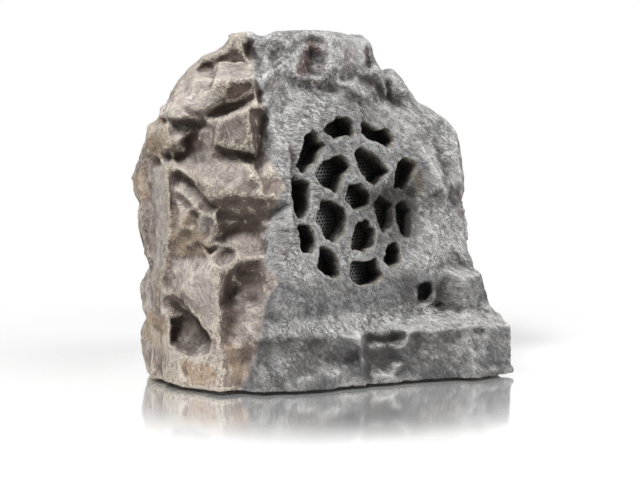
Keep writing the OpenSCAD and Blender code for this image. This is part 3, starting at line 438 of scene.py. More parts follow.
# Sizes in mm. Blocks break up the sides that the creases don't cover
relief = {
    "warp": {"size": 22, "reach": 3.0},
    "blocks": {"size": 46, "height": 8.5, "tilt": 0.16, "gap": 1.5, "share": 0.8},
    "bites": {"size": 25, "depth": 1.6, "frontLoss": 0.85, "seed": 21},
    "scoops": {"size": 12, "depth": 1.4, "frontLoss": 0.7, "seed": 25},
    "chips": {"size": 7, "depth": 0.9, "frontLoss": 0.4, "seed": 31},
    "strokes": {"length": 11, "width": 3.6, "depth": 1.7, "lean": 46, "thick": 14},
    "grain": {"size": 5.2, "height": 0.35},
    "bowl": {"radius": 96, "flat": 50, "depth": 3.0},
    "halfSize": (131.7, 111.7), "foot": 2.0, "top": 289.7,
}


def hashed(cells, seed, channel):
    n = (cells[..., 0] * 73856093 + cells[..., 1] * 19349663 + cells[..., 2] * 83492791
         + seed * 2654435761 + channel * 97003) & 0xFFFFFFFF
    n = ((n ^ (n >> 15)) * 2246822519) & 0xFFFFFFFF
    n = ((n ^ (n >> 13)) * 3266489917) & 0xFFFFFFFF
    return ((n ^ (n >> 16)) & 0xFFFFFF) / 0xFFFFFF


# Nearest and second nearest of one jittered seed point in each cell of a grid
def nearestSeeds(points, size, seed, jitter=0.85):
    p = points / size
    home = np.floor(p).astype(np.int64)
    first = np.full(len(p), 9.0)
    second = np.full(len(p), 9.0)
    cell = np.zeros_like(home)
    away = np.zeros_like(p)
    for i in (-1, 0, 1):
        for j in (-1, 0, 1):
            for k in (-1, 0, 1):
                near = home + np.array((i, j, k))
                jolt = np.stack([hashed(near, seed, c) for c in (1, 2, 3)], 1) - 0.5
                spot = near + 0.5 + jitter * jolt
                gap = p - spot
                distance = np.sqrt((gap * gap).sum(1))
                closer = distance < first
                second = np.where(closer, first, np.minimum(second, distance))
                first = np.where(closer, distance, first)
                cell[closer] = near[closer]
                away[closer] = gap[closer]
    return first, second, cell, away * size


def smoothNoise(points, size, seed):
    p = points / size
    home = np.floor(p).astype(np.int64)
    t = p - home
    t = t * t * (3 - 2 * t)
    total = np.zeros(len(p))
    for i in (0, 1):
        for j in (0, 1):
            for k in (0, 1):
                weight = (np.where(i, t[:, 0], 1 - t[:, 0]) * np.where(j, t[:, 1], 1 - t[:, 1])
                          * np.where(k, t[:, 2], 1 - t[:, 2]))
                total += weight * hashed(home + np.array((i, j, k)), seed, 0)
    return total * 2 - 1


def layeredNoise(points, size, seed, layers=3):
    total = np.zeros(len(points))
    for layer in range(layers):
        total += smoothNoise(points, size / 2 ** layer, seed + layer) / 2 ** layer
    return total


def ramp(values, low, high):
    t = np.clip((values - low) / (high - low), 0, 1)
    return t * t * (3 - 2 * t)


def readPoints(mesh):
    points = np.empty(len(mesh.vertices) * 3)
    mesh.vertices.foreach_get("co", points)
    normals = np.empty(len(mesh.vertices) * 3)
    mesh.vertices.foreach_get("normal", normals)
    return points.reshape(-1, 3), normals.reshape(-1, 3)


def writePoints(mesh, points):
    mesh.vertices.foreach_set("co", points.ravel())
    mesh.update()


def readEdges(mesh):
    edges = np.empty(len(mesh.edges) * 2, dtype=np.int64)
    mesh.edges.foreach_get("vertices", edges)
    return edges.reshape(-1, 2)


def relaxed(values, edges, rounds, factor=0.6):
    a, b = edges[:, 0], edges[:, 1]
    count = len(values)
    share = np.maximum(np.bincount(a, minlength=count) + np.bincount(b, minlength=count), 1)
    values = values.copy()
    for step in range(rounds):
        for c in range(values.shape[1]):
            column = values[:, c]
            total = (np.bincount(a, weights=column[b], minlength=count)
                     + np.bincount(b, weights=column[a], minlength=count))
            values[:, c] += factor * (total / share - column)
    return values


def unitRows(values):
    return values / np.maximum(np.sqrt((values * values).sum(1))[:, None], 1e-9)


# How far along the face's own axes each point is from the driver's axis
def faceCoordinates(points):
    tilt = math.radians(rockLevels["faceTilt"])
    up = Vector((0, math.sin(tilt), math.cos(tilt)))
    away = points - np.array(axisPoint)
    return away[:, 0], away @ np.array(up), away @ np.array(faceNormal)


# 1 on the front around the driver and on the ledge below it, 0 on the flank and the other sides
def frontZone(points, normals):
    edge = np.interp(points[:, 2], *zip(*frontEdge)) + 1.5 * smoothNoise(points, 9, 5)
    side = ramp(points @ acrossAxis - edge, -1.5, 1.5)
    return side * ramp(-normals @ inwardAxis, -0.25, 0.05)


# Distance to an outline, above 0 inside it
def insideDistance(across, height, outline):
    inside = np.zeros(len(across), dtype=bool)
    nearest = np.full(len(across), 1e9)
    for (x0, y0), (x1, y1) in zip(outline, outline[1:] + outline[:1]):
        crosses = (y0 > height) != (y1 > height)
        slope = (x1 - x0) / ((y1 - y0) or 1e-9)
        inside ^= crosses & (across < x0 + slope * (height - y0))
        dx, dy = x1 - x0, y1 - y0
        t = np.clip(((across - x0) * dx + (height - y0) * dy) / (dx * dx + dy * dy), 0, 1)
        nearest = np.minimum(nearest, np.hypot(across - x0 - t * dx, height - y0 - t * dy))
    return np.where(inside, nearest, -nearest)


# 1 on the flat round the control panel
def panelZone(points):
    zone = ramp(np.abs(points[:, 0]), 74, 62) * ramp(np.abs(points[:, 2] - panelPoint.z), 48, 38)
    return zone * ramp(points[:, 1], 60, 80)


def cavityPlanes():
    wall, flankWall = rockLevels["wall"], rockLevels["flankWall"]
    planes = [(n, p - n * (flankWall - wall)) if n.dot(inward) < -0.6 else (n, p)
              for n, p in massPlanes("core", wall)]
    planes += [(faceNormal, axisPoint - faceNormal * rockLevels["frontDepth"]),
               (backNormal, panelPoint - backNormal * wall),
               (Vector((0, 0, -1)), Vector((0, 0, rockLevels["cavityFloor"])))]
    return planes + [(n, p - n * rockLevels["sideWall"]) for n, p in rockBox[:4]]


# Points closer than the least wall to the inside are moved back out
def keptWall(points, push):
    least = rockLevels["leastWall"]
    gap = np.full(len(points), -1e9)
    for n, p in cavityPlanes():
        gap = np.maximum(gap, (points - np.array(p)) @ np.array(n))
    x, y, z = faceCoordinates(points)
    gap = np.minimum(gap, np.maximum(np.hypot(x, y) - tunnel["radius"],
                                     np.abs(z - tunnel["middle"]) - tunnel["halfDepth"]))
    points = points + push * np.maximum(least - gap, 0)[:, None] * rockLevels["push"]
    away = -insideDistance(points[:, 0], points[:, 1], baseOutline)
    short = np.maximum(least - away, 0) * ramp(points[:, 2], *rockLevels["baseFade"])
    return points + push * short[:, None] * rockLevels["push"]


# The front is worn to soft sweeps between crown, face and ledge, but not on the boulder
def wornFront(points, wide, edges):
    across, height = points @ acrossAxis, points[:, 2]
    keep = ramp(frontZone(points, wide), 0.5, 1.0) * ramp(height, 50, 62) * ramp(height, 262, 246)
    keep = (keep * (1 - ramp(across, 74, 84) * ramp(height, 102, 94)))[:, None]
    return points * (1 - keep) + relaxed(points, edges, 60) * keep


# Nothing stands above the skyline or further left than the outline
def trimmed(points):
    skyline = np.interp(points @ acrossAxis, *zip(*skylinePoints))
    points[:, 2] = np.minimum(points[:, 2], skyline + 1.2 * smoothNoise(points, 7, 85))
    furthest = np.interp(points[:, 2], *zip(*leftPoints)) + 1.5 * smoothNoise(points, 6, 86)
    short = np.maximum(furthest - points @ acrossAxis, 0)
    return points + acrossAxis * short[:, None]


def addCreases(obj):
    shape = creaseShape
    points, normals = readPoints(obj.data)
    edges = readEdges(obj.data)
    wide = unitRows(relaxed(normals, edges, 12))
    points = trimmed(wornFront(points, wide, edges))
    shown = ramp(-wide @ inwardAxis, *shape["facing"])
    rise = creasedRise(points)
    gain = shape["flankGain"] - shape["frontLoss"] * frontZone(points, wide)
    rise = np.clip(rise * np.where(rise > 0, gain, 1.0), shape["deepest"], shape["flankHighest"])
    moved = points - inwardAxis * (rise * shown)[:, None]
    points = np.where((shown > 0.02)[:, None], keptWall(moved, -inwardAxis), points)
    # the same creases, turned round, break up the far sides
    turned = points * np.array(shape["farTurn"]) + acrossAxis * shape["farSlide"]
    away = ramp(wide @ inwardAxis, *shape["facing"]) * (1 - panelZone(points))
    rise = shape["farGain"] * np.maximum(creasedRise(turned), shape["farDeepest"]) * away
    points = points + inwardAxis * rise[:, None]
    # the sides meet in a soft seam, and thin fins are worn away
    seam = 4 * shown * (1 - shown) + 4 * away * (1 - away) + 0.5 * away
    seam = np.clip(seam, 0, 1)[:, None]
    points = points * (1 - seam) + relaxed(points, edges, 8) * seam
    worn = relaxed(points, edges, 25)
    fin = ramp(((points - worn) * wide).sum(1), *shape["finHeight"]) * (1 - shown)
    points = points * (1 - fin[:, None]) + worn * fin[:, None]
    writePoints(obj.data, points)


# Blocks with leaning faces and narrow gaps between them
def blockRelief(points):
    blocks = relief["blocks"]
    first, second, cell, away = nearestSeeds(points * np.array((1, 1, 0.8)), blocks["size"], 3)
    lean = np.stack([hashed(cell, 3, c) for c in (8, 9, 10)], 1) - 0.5
    rise = blocks["height"] * hashed(cell, 3, 7) + 2 * blocks["tilt"] * (away * lean).sum(1)
    rise -= blocks["gap"] * ramp(second - first, 0.14, 0.0)
    return np.clip(rise - 4.0, -6, 4)


# Narrow leaning scallops, as a chisel leaves them
def strokeRelief(points):
    strokes = relief["strokes"]
    lean = math.radians(strokes["lean"])
    along = points[:, 0] * math.cos(lean) - points[:, 2] * math.sin(lean)
    over = points[:, 0] * math.sin(lean) + points[:, 2] * math.cos(lean)
    strip = np.stack([along / strokes["length"], over / strokes["width"],
                      points[:, 1] / strokes["thick"]], 1)
    wobble = np.stack([smoothNoise(points, 12, s) for s in (41, 42, 43)], 1)
    first, second, cell, away = nearestSeeds(strip + 0.2 * wobble, 1.0, 44)
    return first * (0.2 + hashed(cell, 44, 5)) - 0.3


def addRelief(obj):
    points, normals = readPoints(obj.data)
    edges = readEdges(obj.data)
    wide = unitRows(relaxed(normals, edges, 12))
    front = frontZone(points, wide)
    hidden = ramp(wide @ inwardAxis, -0.22, 0.12) * (1 - panelZone(points))
    warp, grain, bowl = relief["warp"], relief["grain"], relief["bowl"]
    swirl = np.stack([smoothNoise(points, warp["size"], s) for s in (11, 12, 13)], 1)
    warped = points + warp["reach"] * swirl
    rise = hidden * blockRelief(warped) * relief["blocks"]["share"]
    for kind in ("bites", "scoops", "chips"):
        cut = relief[kind]
        first, second, cell, away = nearestSeeds(warped, cut["size"], cut["seed"])
        hollow = first * first * (0.3 + 0.9 * hashed(cell, cut["seed"], 5)) - 0.45
        rise += (1 - cut["frontLoss"] * front) * cut["depth"] * hollow
    rise += front * relief["strokes"]["depth"] * strokeRelief(points)
    rise += grain["height"] * layeredNoise(points, grain["size"], 51, 2)
    x, y, z = faceCoordinates(points)
    dish = ramp(np.sqrt(x * x + y * y), bowl["radius"], bowl["flat"])
    rise -= front * bowl["depth"] * dish * ramp(np.abs(z), 14, 6)
    points = points + wide * rise[:, None]
    half = np.array(relief["halfSize"])
    points[:, :2] = np.clip(points[:, :2], -half, half)
    points[:, 2] = np.clip(points[:, 2], relief["foot"], relief["top"])
    writePoints(obj.data, points)


# Outlines of the sound openings round the driver's axis, in mm
soundOpenings = [
    [(-25, 59), (-17, 51), (-6, 54), (4, 52), (6, 56), (2, 66), (-10, 69)],
    [(15, 54), (24, 50), (40, 43), (48, 48), (42, 58), (30, 58), (15, 65)],
    [(-51, 40), (-59, 31), (-49, 25), (-38, 33), (-28, 45), (-38, 58), (-47, 53)],
    [(9, 28), (13, 21), (24, 12), (40, 22), (34, 31), (26, 37), (12, 42), (5, 39)],
    [(-37, 23), (-36, 17), (-18, 8), (-10, 21), (0, 28), (-12, 38), (-30, 33)],
    [(48, 19), (49, 9), (57, 8), (66, 16), (70, 27), (62, 33), (51, 30)],
    [(-68, 2), (-63, -10), (-56, -11), (-48, -4), (-48, 14), (-62, 23), (-67, 16)],
    [(-7, 2), (-5, -3), (0, -6), (17, -3), (20, 4), (9, 13), (-3, 13)],
    [(24, -13), (30, -29), (42, -19), (43, -6), (31, 3), (25, -2)],
    [(-40, -15), (-33, -28), (-24, -32), (-11, -21), (-8, -10), (-17, -1), (-33, 2)],
    [(48, -20), (49, -30), (58, -33), (63, -22), (64, -11), (58, -4), (50, -6)],
    [(-63, -26), (-59, -38), (-50, -39), (-45, -30), (-49, -18), (-62, -18)],
    [(-5, -32), (-6, -40), (5, -42), (18, -38), (19, -26), (14, -16), (4, -18)],
    [(26, -50), (31, -57), (44, -54), (46, -44), (41, -36), (32, -41)],
    [(-44, -50), (-39, -58), (-27, -62), (-22, -56), (-24, -48), (-34, -37), (-42, -37)],
    [(-11, -61), (-5, -68), (10, -70), (21, -63), (17, -50), (4, -52), (-9, -51)],
]
openingShape = {"behind": -21.5, "mouth": 14, "cuts": (-5, -12), "grow": 1.06, "flare": 0.012,
                "jolt": 0.12, "ragged": 2.4}
panelCut = {"width": 119, "height": 65, "depth": 8, "windowWidth": 100, "windowHeight": 48,
            "windowDepth": 40, "clear": 60}
baseOutline = [(-92, -38), (108, -96), (120, -84), (121, 70), (84, 100), (-94, 100), (-100, 68),
               (-103, 20)]
onFace = Matrix.Translation(axisPoint) @ Matrix.Rotation(math.radians(81), 4, "X")
onBack = (Matrix.Translation(panelPoint) @ Matrix.Rotation(math.radians(-82), 4, "X")
          @ Matrix.Rotation(math.pi, 4, "Z"))


# An outline drawn up from low to high, then placed
def prism(outline, low, high, place=None):
    bm = bmesh.new()
    bottom = bm.faces.new([bm.verts.new((x, y, low)) for x, y in outline])
    top = bmesh.ops.extrude_face_region(bm, geom=[bottom])["geom"]
    for part in top:
        if isinstance(part, bmesh.types.BMVert):
            part.co.z = high
    bmesh.ops.recalc_face_normals(bm, faces=bm.faces[:])
    if place is not None:
        bmesh.ops.transform(bm, matrix=place, verts=bm.verts[:])
    return bm


def rectangle(width, height):
    x, y = width / 2, height / 2
    return [(-x, -y), (x, -y), (x, y), (-x, y)]


# The outline with two ragged points between each pair of its corners
def ragged(outline, seed):
    loop = []
    for i, (start, end) in enumerate(zip(outline, outline[1:] + outline[:1])):
        start, end = Vector(start), Vector(end)
        for k in range(3):
            spot = start.lerp(end, k / 3)
            jolt = hashed(np.array([[i, k, 0], [i, k, 1]]), seed, 1) - 0.5
            reach = openingShape["ragged"]
            loop.append((spot.x + reach * jolt[0], spot.y + reach * jolt[1]))
    return loop


def openingCutters():
    shape, cutters = openingShape, []
    for number, outline in enumerate(soundOpenings):
        bm = prism(ragged(outline, number), shape["behind"], shape["mouth"])
        for depth in shape["cuts"]:
            bmesh.ops.bisect_plane(bm, geom=bm.verts[:] + bm.edges[:] + bm.faces[:],
                                   plane_co=(0, 0, depth), plane_no=(0, 0, 1))
        middle = sum((v.co for v in bm.verts), Vector()) / len(bm.verts)
        for v in bm.verts:
            cell = np.array([[int(v.co.x * 3), int(v.co.y * 3), int(v.co.z)]])
            grow = shape["grow"] + shape["flare"] * max(v.co.z + 3, 0)
            grow += shape["jolt"] * (hashed(cell, number, 1)[0] - 0.5)
            v.co.xy = (middle + (v.co - middle) * grow).xy
        bmesh.ops.triangulate(bm, faces=bm.faces[:])
        bmesh.ops.transform(bm, matrix=onFace, verts=bm.verts[:])
        cutters.append(bm)
    return cutters


def insideCutters():
    bore = bmesh.new()
    bmesh.ops.create_cone(bore, cap_ends=True, segments=tunnel["corners"], radius1=tunnel["radius"],
                          radius2=tunnel["radius"], depth=2 * tunnel["halfDepth"])
    bmesh.ops.transform(bore, matrix=onFace @ Matrix.Translation((0, 0, tunnel["middle"])),
                        verts=bore.verts[:])
    cut = panelCut
    window = rectangle(cut["windowWidth"], cut["windowHeight"])
    return [slicedBlock(cavityPlanes()), bore,
            prism(baseOutline, *rockLevels["baseCut"]),
            prism(rectangle(cut["width"], cut["height"]), -cut["depth"], cut["clear"], onBack),
            prism(window, -cut["windowDepth"], 0, onBack)]


# Paint patches as (strength, outline), seen from the flank's side, in mm. The darker ones are
# partly paint and partly painted shade in recesses, under overhangs and on faces turned from the
# lamps; the paler ones are partly paint and partly painted highlight on faces turned to the lamps
paintAndShadeOutlines = {
    "dark": [
        (0.5, [(-36, 264), (-26, 252), (-22, 234), (-32, 220), (-44, 238)]),
        (0.45, [(-6, 252), (14, 248), (32, 244), (28, 238), (4, 242), (-14, 246)]),
        (0.45, [(-40, 206), (-32, 208), (-30, 196), (-38, 192)]),
        (0.5, [(-92, 262), (-76, 284), (-52, 290), (-38, 286), (-38, 252), (-60, 254),
               (-84, 256)]),
        (0.45, [(-30, 288), (-14, 288), (-14, 254), (-34, 250), (-44, 262)]),
        (0.9, [(-58, 288), (-50, 281), (-49, 271), (-60, 266), (-60, 278)]),
        (0.9, [(-52, 270), (-40, 263), (-41, 258), (-49, 259), (-58, 267)]),
        (0.95, [(-78, 248), (-50, 250), (-47, 238), (-62, 232), (-78, 229), (-76, 240)]),
        (1.0, [(-53, 229), (-40, 230), (-40, 216), (-45, 190), (-53, 190), (-54, 210)]),
        (0.55, [(-80, 218), (-62, 223), (-55, 225), (-54, 192), (-66, 195), (-82, 200)]),
        (1.0, [(-108, 212), (-96, 214), (-86, 210), (-88, 184), (-92, 178), (-111, 180),
               (-116, 186), (-108, 196)]),
        (0.55, [(-80, 190), (-62, 188), (-48, 181), (-38, 168), (-33, 153), (-50, 144), (-75, 141),
                (-92, 148), (-104, 160), (-92, 178)]),
        (0.9, [(-90, 146), (-75, 143), (-50, 146), (-36, 146), (-46, 132), (-60, 124),
               (-78, 126)]),
        (1.0, [(-68, 104), (-56, 108), (-46, 108), (-40, 95), (-39, 75), (-44, 58), (-60, 54),
               (-74, 60), (-76, 72), (-74, 90)]),
        (1.0, [(-117, 54), (-104, 58), (-94, 58), (-82, 42), (-84, 33), (-95, 27), (-118, 30),
               (-120, 36)]),
        (0.6, [(-122, 62), (-116, 72), (-106, 76), (-96, 62), (-104, 56), (-117, 52)]),
        (0.7, [(-62, 52), (-40, 54), (-36, 30), (-48, 22), (-64, 30)]),
        (0.6, [(-30, 46), (-9, 46), (8, 44), (20, 34), (12, 16), (-28, 12)]),
        (0.8, [(39, 46), (54, 47), (66, 46), (68, 30), (60, 14), (48, 10), (39, 10)]),
        (0.5, [(74, 42), (96, 48), (116, 44), (124, 26), (104, 12), (84, 22)]),
        # painted shade on the buttress face that turns down and away from the lamps
        (0.6, [(-13, 280), (-3, 283), (6, 279), (9, 270), (5, 260), (8, 249), (-14, 250),
               (-14, 262)]),
        (1.0, [(40, 276), (46, 272), (47, 258), (41, 259)]),
        (0.85, [(30, 260), (50, 250), (70, 231), (64, 227), (46, 240), (30, 252)]),
        (0.8, [(81, 179), (97, 171), (95, 153), (84, 159)]),
        (1.0, [(86, 77), (97, 74), (98, 62), (87, 61)]),
        (0.7, [(102, 200), (106, 194), (114, 168), (110, 164), (103, 182)]),
        (0.8, [(-22, 200), (-16, 196), (-14, 186), (-20, 184), (-26, 192)]),
    ],
    "rust": [
        (0.9, [(-12, 282), (-2, 285), (8, 281), (11, 271), (8, 260), (11, 250), (-4, 248),
               (-20, 250), (-14, 264)]),
        (0.6, [(-28, 204), (-20, 202), (-20, 184), (-30, 188)]),
        (0.7, [(98, 76), (124, 72), (132, 56), (108, 54), (98, 60)]),
        (0.5, [(118, 160), (132, 150), (132, 128), (122, 130)]),
        (0.5, [(-76, 248), (-50, 250), (-48, 240), (-64, 234), (-76, 232)]),
        (0.5, [(20, 276), (34, 276), (34, 262), (24, 258)]),
        (0.6, [(-30, 130), (-22, 128), (-22, 112), (-32, 112)]),
        (0.8, [(-76, 250), (-66, 250), (-62, 238), (-76, 234)]),
        (0.4, [(84, 84), (70, 92), (76, 66), (86, 62)]),
    ],
    "ochre": [
        (0.8, [(-152, 168), (-140, 180), (-138, 150), (-148, 146)]),
        (0.8, [(-140, 214), (-124, 220), (-116, 196), (-132, 178), (-138, 192)]),
        (0.7, [(-106, 178), (-98, 172), (-88, 164), (-86, 170), (-96, 180)]),
        (0.6, [(-118, 150), (-98, 146), (-96, 110), (-118, 108)]),
        (0.8, [(-140, 58), (-120, 50), (-120, 30), (-148, 34)]),
        (0.8, [(-110, 24), (-86, 26), (-78, 14), (-92, 6), (-110, 10)]),
        (0.6, [(-74, 40), (-56, 44), (-52, 12), (-68, 10)]),
        (0.5, [(-132, 92), (-126, 96), (-124, 74), (-132, 74)]),
        (0.6, [(-96, 128), (-84, 128), (-82, 108), (-94, 108)]),
    ],
    "pale": [
        (0.9, [(-124, 238), (-108, 228), (-101, 221), (-112, 217), (-131, 221), (-131, 230)]),
        (0.8, [(-120, 212), (-112, 196), (-108, 206), (-112, 216)]),
        (0.8, [(-133, 178), (-123, 182), (-122, 120), (-128, 96), (-134, 74), (-138, 78),
               (-132, 120), (-134, 160)]),
        (0.7, [(-110, 250), (-78, 250), (-80, 228), (-92, 222), (-104, 232), (-112, 242)]),
        (0.6, [(-118, 102), (-86, 103), (-78, 92), (-78, 68), (-96, 70), (-110, 82)]),
        (0.9, [(-93, 143), (-86, 145), (-79, 139), (-80, 132), (-91, 130)]),
        (0.75, [(-33, 152), (-26, 166), (-20, 166), (-20, 140), (-22, 112), (-26, 90), (-34, 94),
                (-42, 106), (-40, 122), (-34, 138)]),
        (0.5, [(-92, 204), (-84, 208), (-84, 198), (-90, 182), (-94, 190)]),
        (0.55, [(8, 286), (44, 286), (42, 258), (14, 260)]),
        (0.8, [(20, 244), (66, 226), (86, 200), (60, 212), (20, 228), (-24, 222), (-24, 238)]),
        (0.8, [(88, 206), (100, 212), (108, 150), (104, 110), (98, 148)]),
        (0.7, [(112, 214), (119, 214), (122, 150), (114, 148)]),
        (0.5, [(16, 286), (40, 286), (38, 262), (18, 262)]),
        (0.6, [(-46, 66), (-30, 74), (-6, 60), (-14, 36), (-30, 30), (-44, 46)]),
        (0.6, [(16, 66), (30, 64), (38, 42), (36, 32), (26, 44)]),
        (0.5, [(100, 84), (136, 84), (144, 62), (132, 62), (126, 74), (100, 78)]),
        (0.5, [(136, 50), (154, 46), (154, 10), (146, 8), (146, 30)]),
        (0.5, [(-150, 80), (-138, 84), (-136, 62), (-148, 50)]),
        (0.6, [(-124, 32), (-108, 28), (-106, 12), (-116, 8)]),
    ],
}


# Far sides get random patches: the tone, its seed and its share of the patches, from and to
patchTones = [("dark", 71, 0.0, 0.24), ("rust", 73, 0.24, 0.36), ("ochre", 75, 0.36, 0.6),
              ("pale", 77, 0.6, 0.78)]
paintLevels = {"softDark": 3.2, "soft": 1.4, "wobble": 2.0, "patchSize": 38, "patchShare": 0.55,
               "grime": 0.9, "driverGrime": 0.4}


def paintAndShadeMask(points, shown, kind, seed):
    across = points @ acrossAxis + paintLevels["wobble"] * smoothNoise(points, 8, seed)
    height = points[:, 2] + paintLevels["wobble"] * smoothNoise(points, 8, seed + 1)
    soft = paintLevels["softDark" if kind == "dark" else "soft"]
    total = np.zeros(len(points))
    for amount, outline in paintAndShadeOutlines[kind]:
        edge = ramp(insideDistance(across, height, outline), -soft, soft)
        total = np.maximum(total, amount * edge)
    return total * shown


# Painted shade with some dirt on the low front and on the ledge's faces that don't face up, and
# darker round the driver
def shadeAndGrimeMask(points, wide, front):
    height, up = points[:, 2], wide[:, 2]
    x, y, z = faceCoordinates(points)
    grime = paintLevels["grime"]
    low = grime * ramp(height, 100, 80) * ramp(height, 56, 64) * ramp(up, 0.75, 0.45)
    ledge = grime * ramp(height, 50, 42) * ramp(up, 0.6, 0.2)
    driverRing = paintLevels["driverGrime"] * ramp(np.hypot(x, y), 80, 66) * ramp(z, -12, -8)
    spots = 0.82 + 0.6 * layeredNoise(points, 26, 91)
    return np.clip(np.maximum(np.maximum(low, ledge), driverRing) * spots * front, 0, 1)


# Masks that the stone's finish reads, one value for each point
def addMasks(obj):
    points, normals = readPoints(obj.data)
    edges = readEdges(obj.data)
    wide = unitRows(relaxed(normals, edges, 8))
    front = frontZone(points, wide)
    fine = ((points - relaxed(points, edges, 3)) * normals).sum(1) * 0.7
    fine += ((points - relaxed(points, edges, 12)) * wide).sum(1) * 0.4
    broad = ((points - relaxed(points, edges, 45)) * wide).sum(1)
    # how far each point faces the key lamp at the upper left, for painted highlight on facets
    # turned to it and painted shade on those turned away
    turned = unitRows(relaxed(normals, edges, 4)) @ np.array((-0.65, -0.15, 0.75))
    x, y, z = faceCoordinates(points)
    radius = np.hypot(x, y)
    lip = ramp(z, 1.0, -2.0) * ramp(z, -8, -4) * ramp(radius, 82, 78)
    masks = {"raised": np.clip(fine * 3.0, -1, 1), "relief": np.clip(broad * 0.35, -1, 1),
             "front": front, "lip": lip * ramp(np.abs(wide[:, 1]), 0.9, 0.7),
             # painted shade inside the openings
             "bore": ramp(z, -3.0, -8.0) * ramp(radius, 84, 80) * ramp(z, -40, -30),
             "grimy": shadeAndGrimeMask(points, wide, front),
             "facet": np.clip(turned - 0.5 + 0.22 * front, -1, 1)}
    shown = ramp(-wide @ inwardAxis, -0.12, 0.02)
    stirred = points + 4 * smoothNoise(points, 20, 61)[:, None]
    first, second, cell, away = nearestSeeds(stirred, paintLevels["patchSize"], 62)
    pick = hashed(cell, 62, 4)
    for kind, seed, low, high in patchTones:
        patch = (pick >= low) & (pick < high)
        patch = patch * ramp(second - first, 0.02, 0.30) * paintLevels["patchShare"]
        masks[kind] = np.maximum(paintAndShadeMask(points, shown, kind, seed), patch * (1 - shown))
    for name, values in masks.items():
        layer = obj.data.attributes.new(name, "FLOAT", "POINT")
        layer.data.foreach_set("value", values.astype(np.float32))


def buildRock():
    rock = joined("stoneShell", rockBlocks())
    voxel = rockMesh["voxel"]
    remeshed(rock, voxel)
    addCreases(rock)
    remeshed(rock, voxel)
    addRelief(rock)
    carved(rock, insideCutters() + openingCutters())
    remeshed(rock, voxel * rockMesh["lastShare"])
    addMasks(rock)
    thin = rock.modifiers.new("thin", "DECIMATE")
    thin.ratio = min(1.0, rockMesh["mostFaces"] / (2.0 * len(rock.data.polygons)))
    bakeModifiers(rock)
    rock.data.transform(Matrix.Scale(mm, 4))
    for polygon in rock.data.polygons:
        polygon.use_smooth = True
    print("rock:", len(rock.data.polygons), "faces")
    return rock


rock = buildRock()
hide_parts("rock_shell")
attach(rock, "housing")

# A steel disc punched with round holes in staggered rows, in mm
grille = {"radius": 76, "corners": 96, "behind": -20.8, "thickness": 0.8, "hole": 1.05,
          "holeCorners": 8, "pitch": 3.3, "rim": 5.0}


def discOutline(radius, corners):
    turns = [math.tau * i / corners for i in range(corners)]
    return [(radius * math.cos(turn), radius * math.sin(turn)) for turn in turns]


def punchedHoles():
    holes = bmesh.new()
    row = grille["pitch"] * math.sqrt(3) / 2
    reach = grille["radius"] - grille["rim"]
    count = int(reach / row) + 1
    for j in range(-count, count + 1):
        for i in range(-count, count + 1):
            x, y = (i + 0.5 * (j % 2)) * grille["pitch"], j * row
            if math.hypot(x, y) < reach:
                bmesh.ops.create_cone(holes, cap_ends=True, segments=grille["holeCorners"],
                                      radius1=grille["hole"], radius2=grille["hole"],
                                      depth=4 * grille["thickness"],
                                      matrix=Matrix.Translation((x, y, grille["behind"])))
    bmesh.ops.transform(holes, matrix=onFace, verts=holes.verts[:])
    return holes


def buildGrille():
    front = grille["behind"] + grille["thickness"]
    disc = prism(discOutline(grille["radius"], grille["corners"]), grille["behind"], front, onFace)
    obj = newObject("punchedGrille", disc)
    carved(obj, [punchedHoles()])
    obj.data.transform(Matrix.Scale(mm, 4))
    print("grille:", len(obj.data.polygons), "faces")
    return obj


punchedGrille = buildGrille()
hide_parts("grille_mesh")
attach(punchedGrille, "housing")


# Values are numbers or other nodes' outputs, which are linked
def addNode(tree, kind, values=None, **settings):
    node = tree.nodes.new("ShaderNode" + kind)
    for key, value in settings.items():
        setattr(node, key, value)
    for key, value in (values or {}).items():
        socket = node.inputs[key]
        if isinstance(value, bpy.types.NodeSocket):
            tree.links.new(value, socket)
        else:
            socket.default_value = value
    return node


def rgb(r, g, b):
    return (r, g, b, 1.0)


def mixColor(tree, factor, a, b):
    return addNode(tree, "Mix", {0: factor, 6: a, 7: b}, data_type="RGBA").outputs[2]


def calculate(tree, operation, a, b=0.0, c=None, clamp=False):
    values = {0: a, 1: b} if c is None else {0: a, 1: b, 2: c}
    return addNode(tree, "Math", values, operation=operation, use_clamp=clamp).outputs[0]


def times(tree, a, b, clamp=False):
    return calculate(tree, "MULTIPLY", a, b, clamp=clamp)


def timesPlus(tree, a, b, c):
    return calculate(tree, "MULTIPLY_ADD", a, b, c)


def plus(tree, a, b):
    return calculate(tree, "ADD", a, b)


def minus(tree, a, b):
    return calculate(tree, "SUBTRACT", a, b)


def vectorMath(tree, operation, values):
    return addNode(tree, "VectorMath", values, operation=operation).outputs


def rangeMask(tree, value, low, high, outLow=0.0, outHigh=1.0):
    values = {"Value": value, "From Min": low, "From Max": high, "To Min": outLow,
              "To Max": outHigh}
    return addNode(tree, "MapRange", values, clamp=True).outputs["Result"]


def noise(tree, scale, detail=3.0, roughness=0.55, vector=None, distortion=0.0):
    values = {"Scale": scale, "Detail": detail, "Roughness": roughness, "Distortion": distortion}
    if vector is not None:
        values["Vector"] = vector
    return addNode(tree, "TexNoise", values).outputs["Fac"]


def objectPlace(tree):
    return addNode(tree, "TexCoord").outputs["Object"]


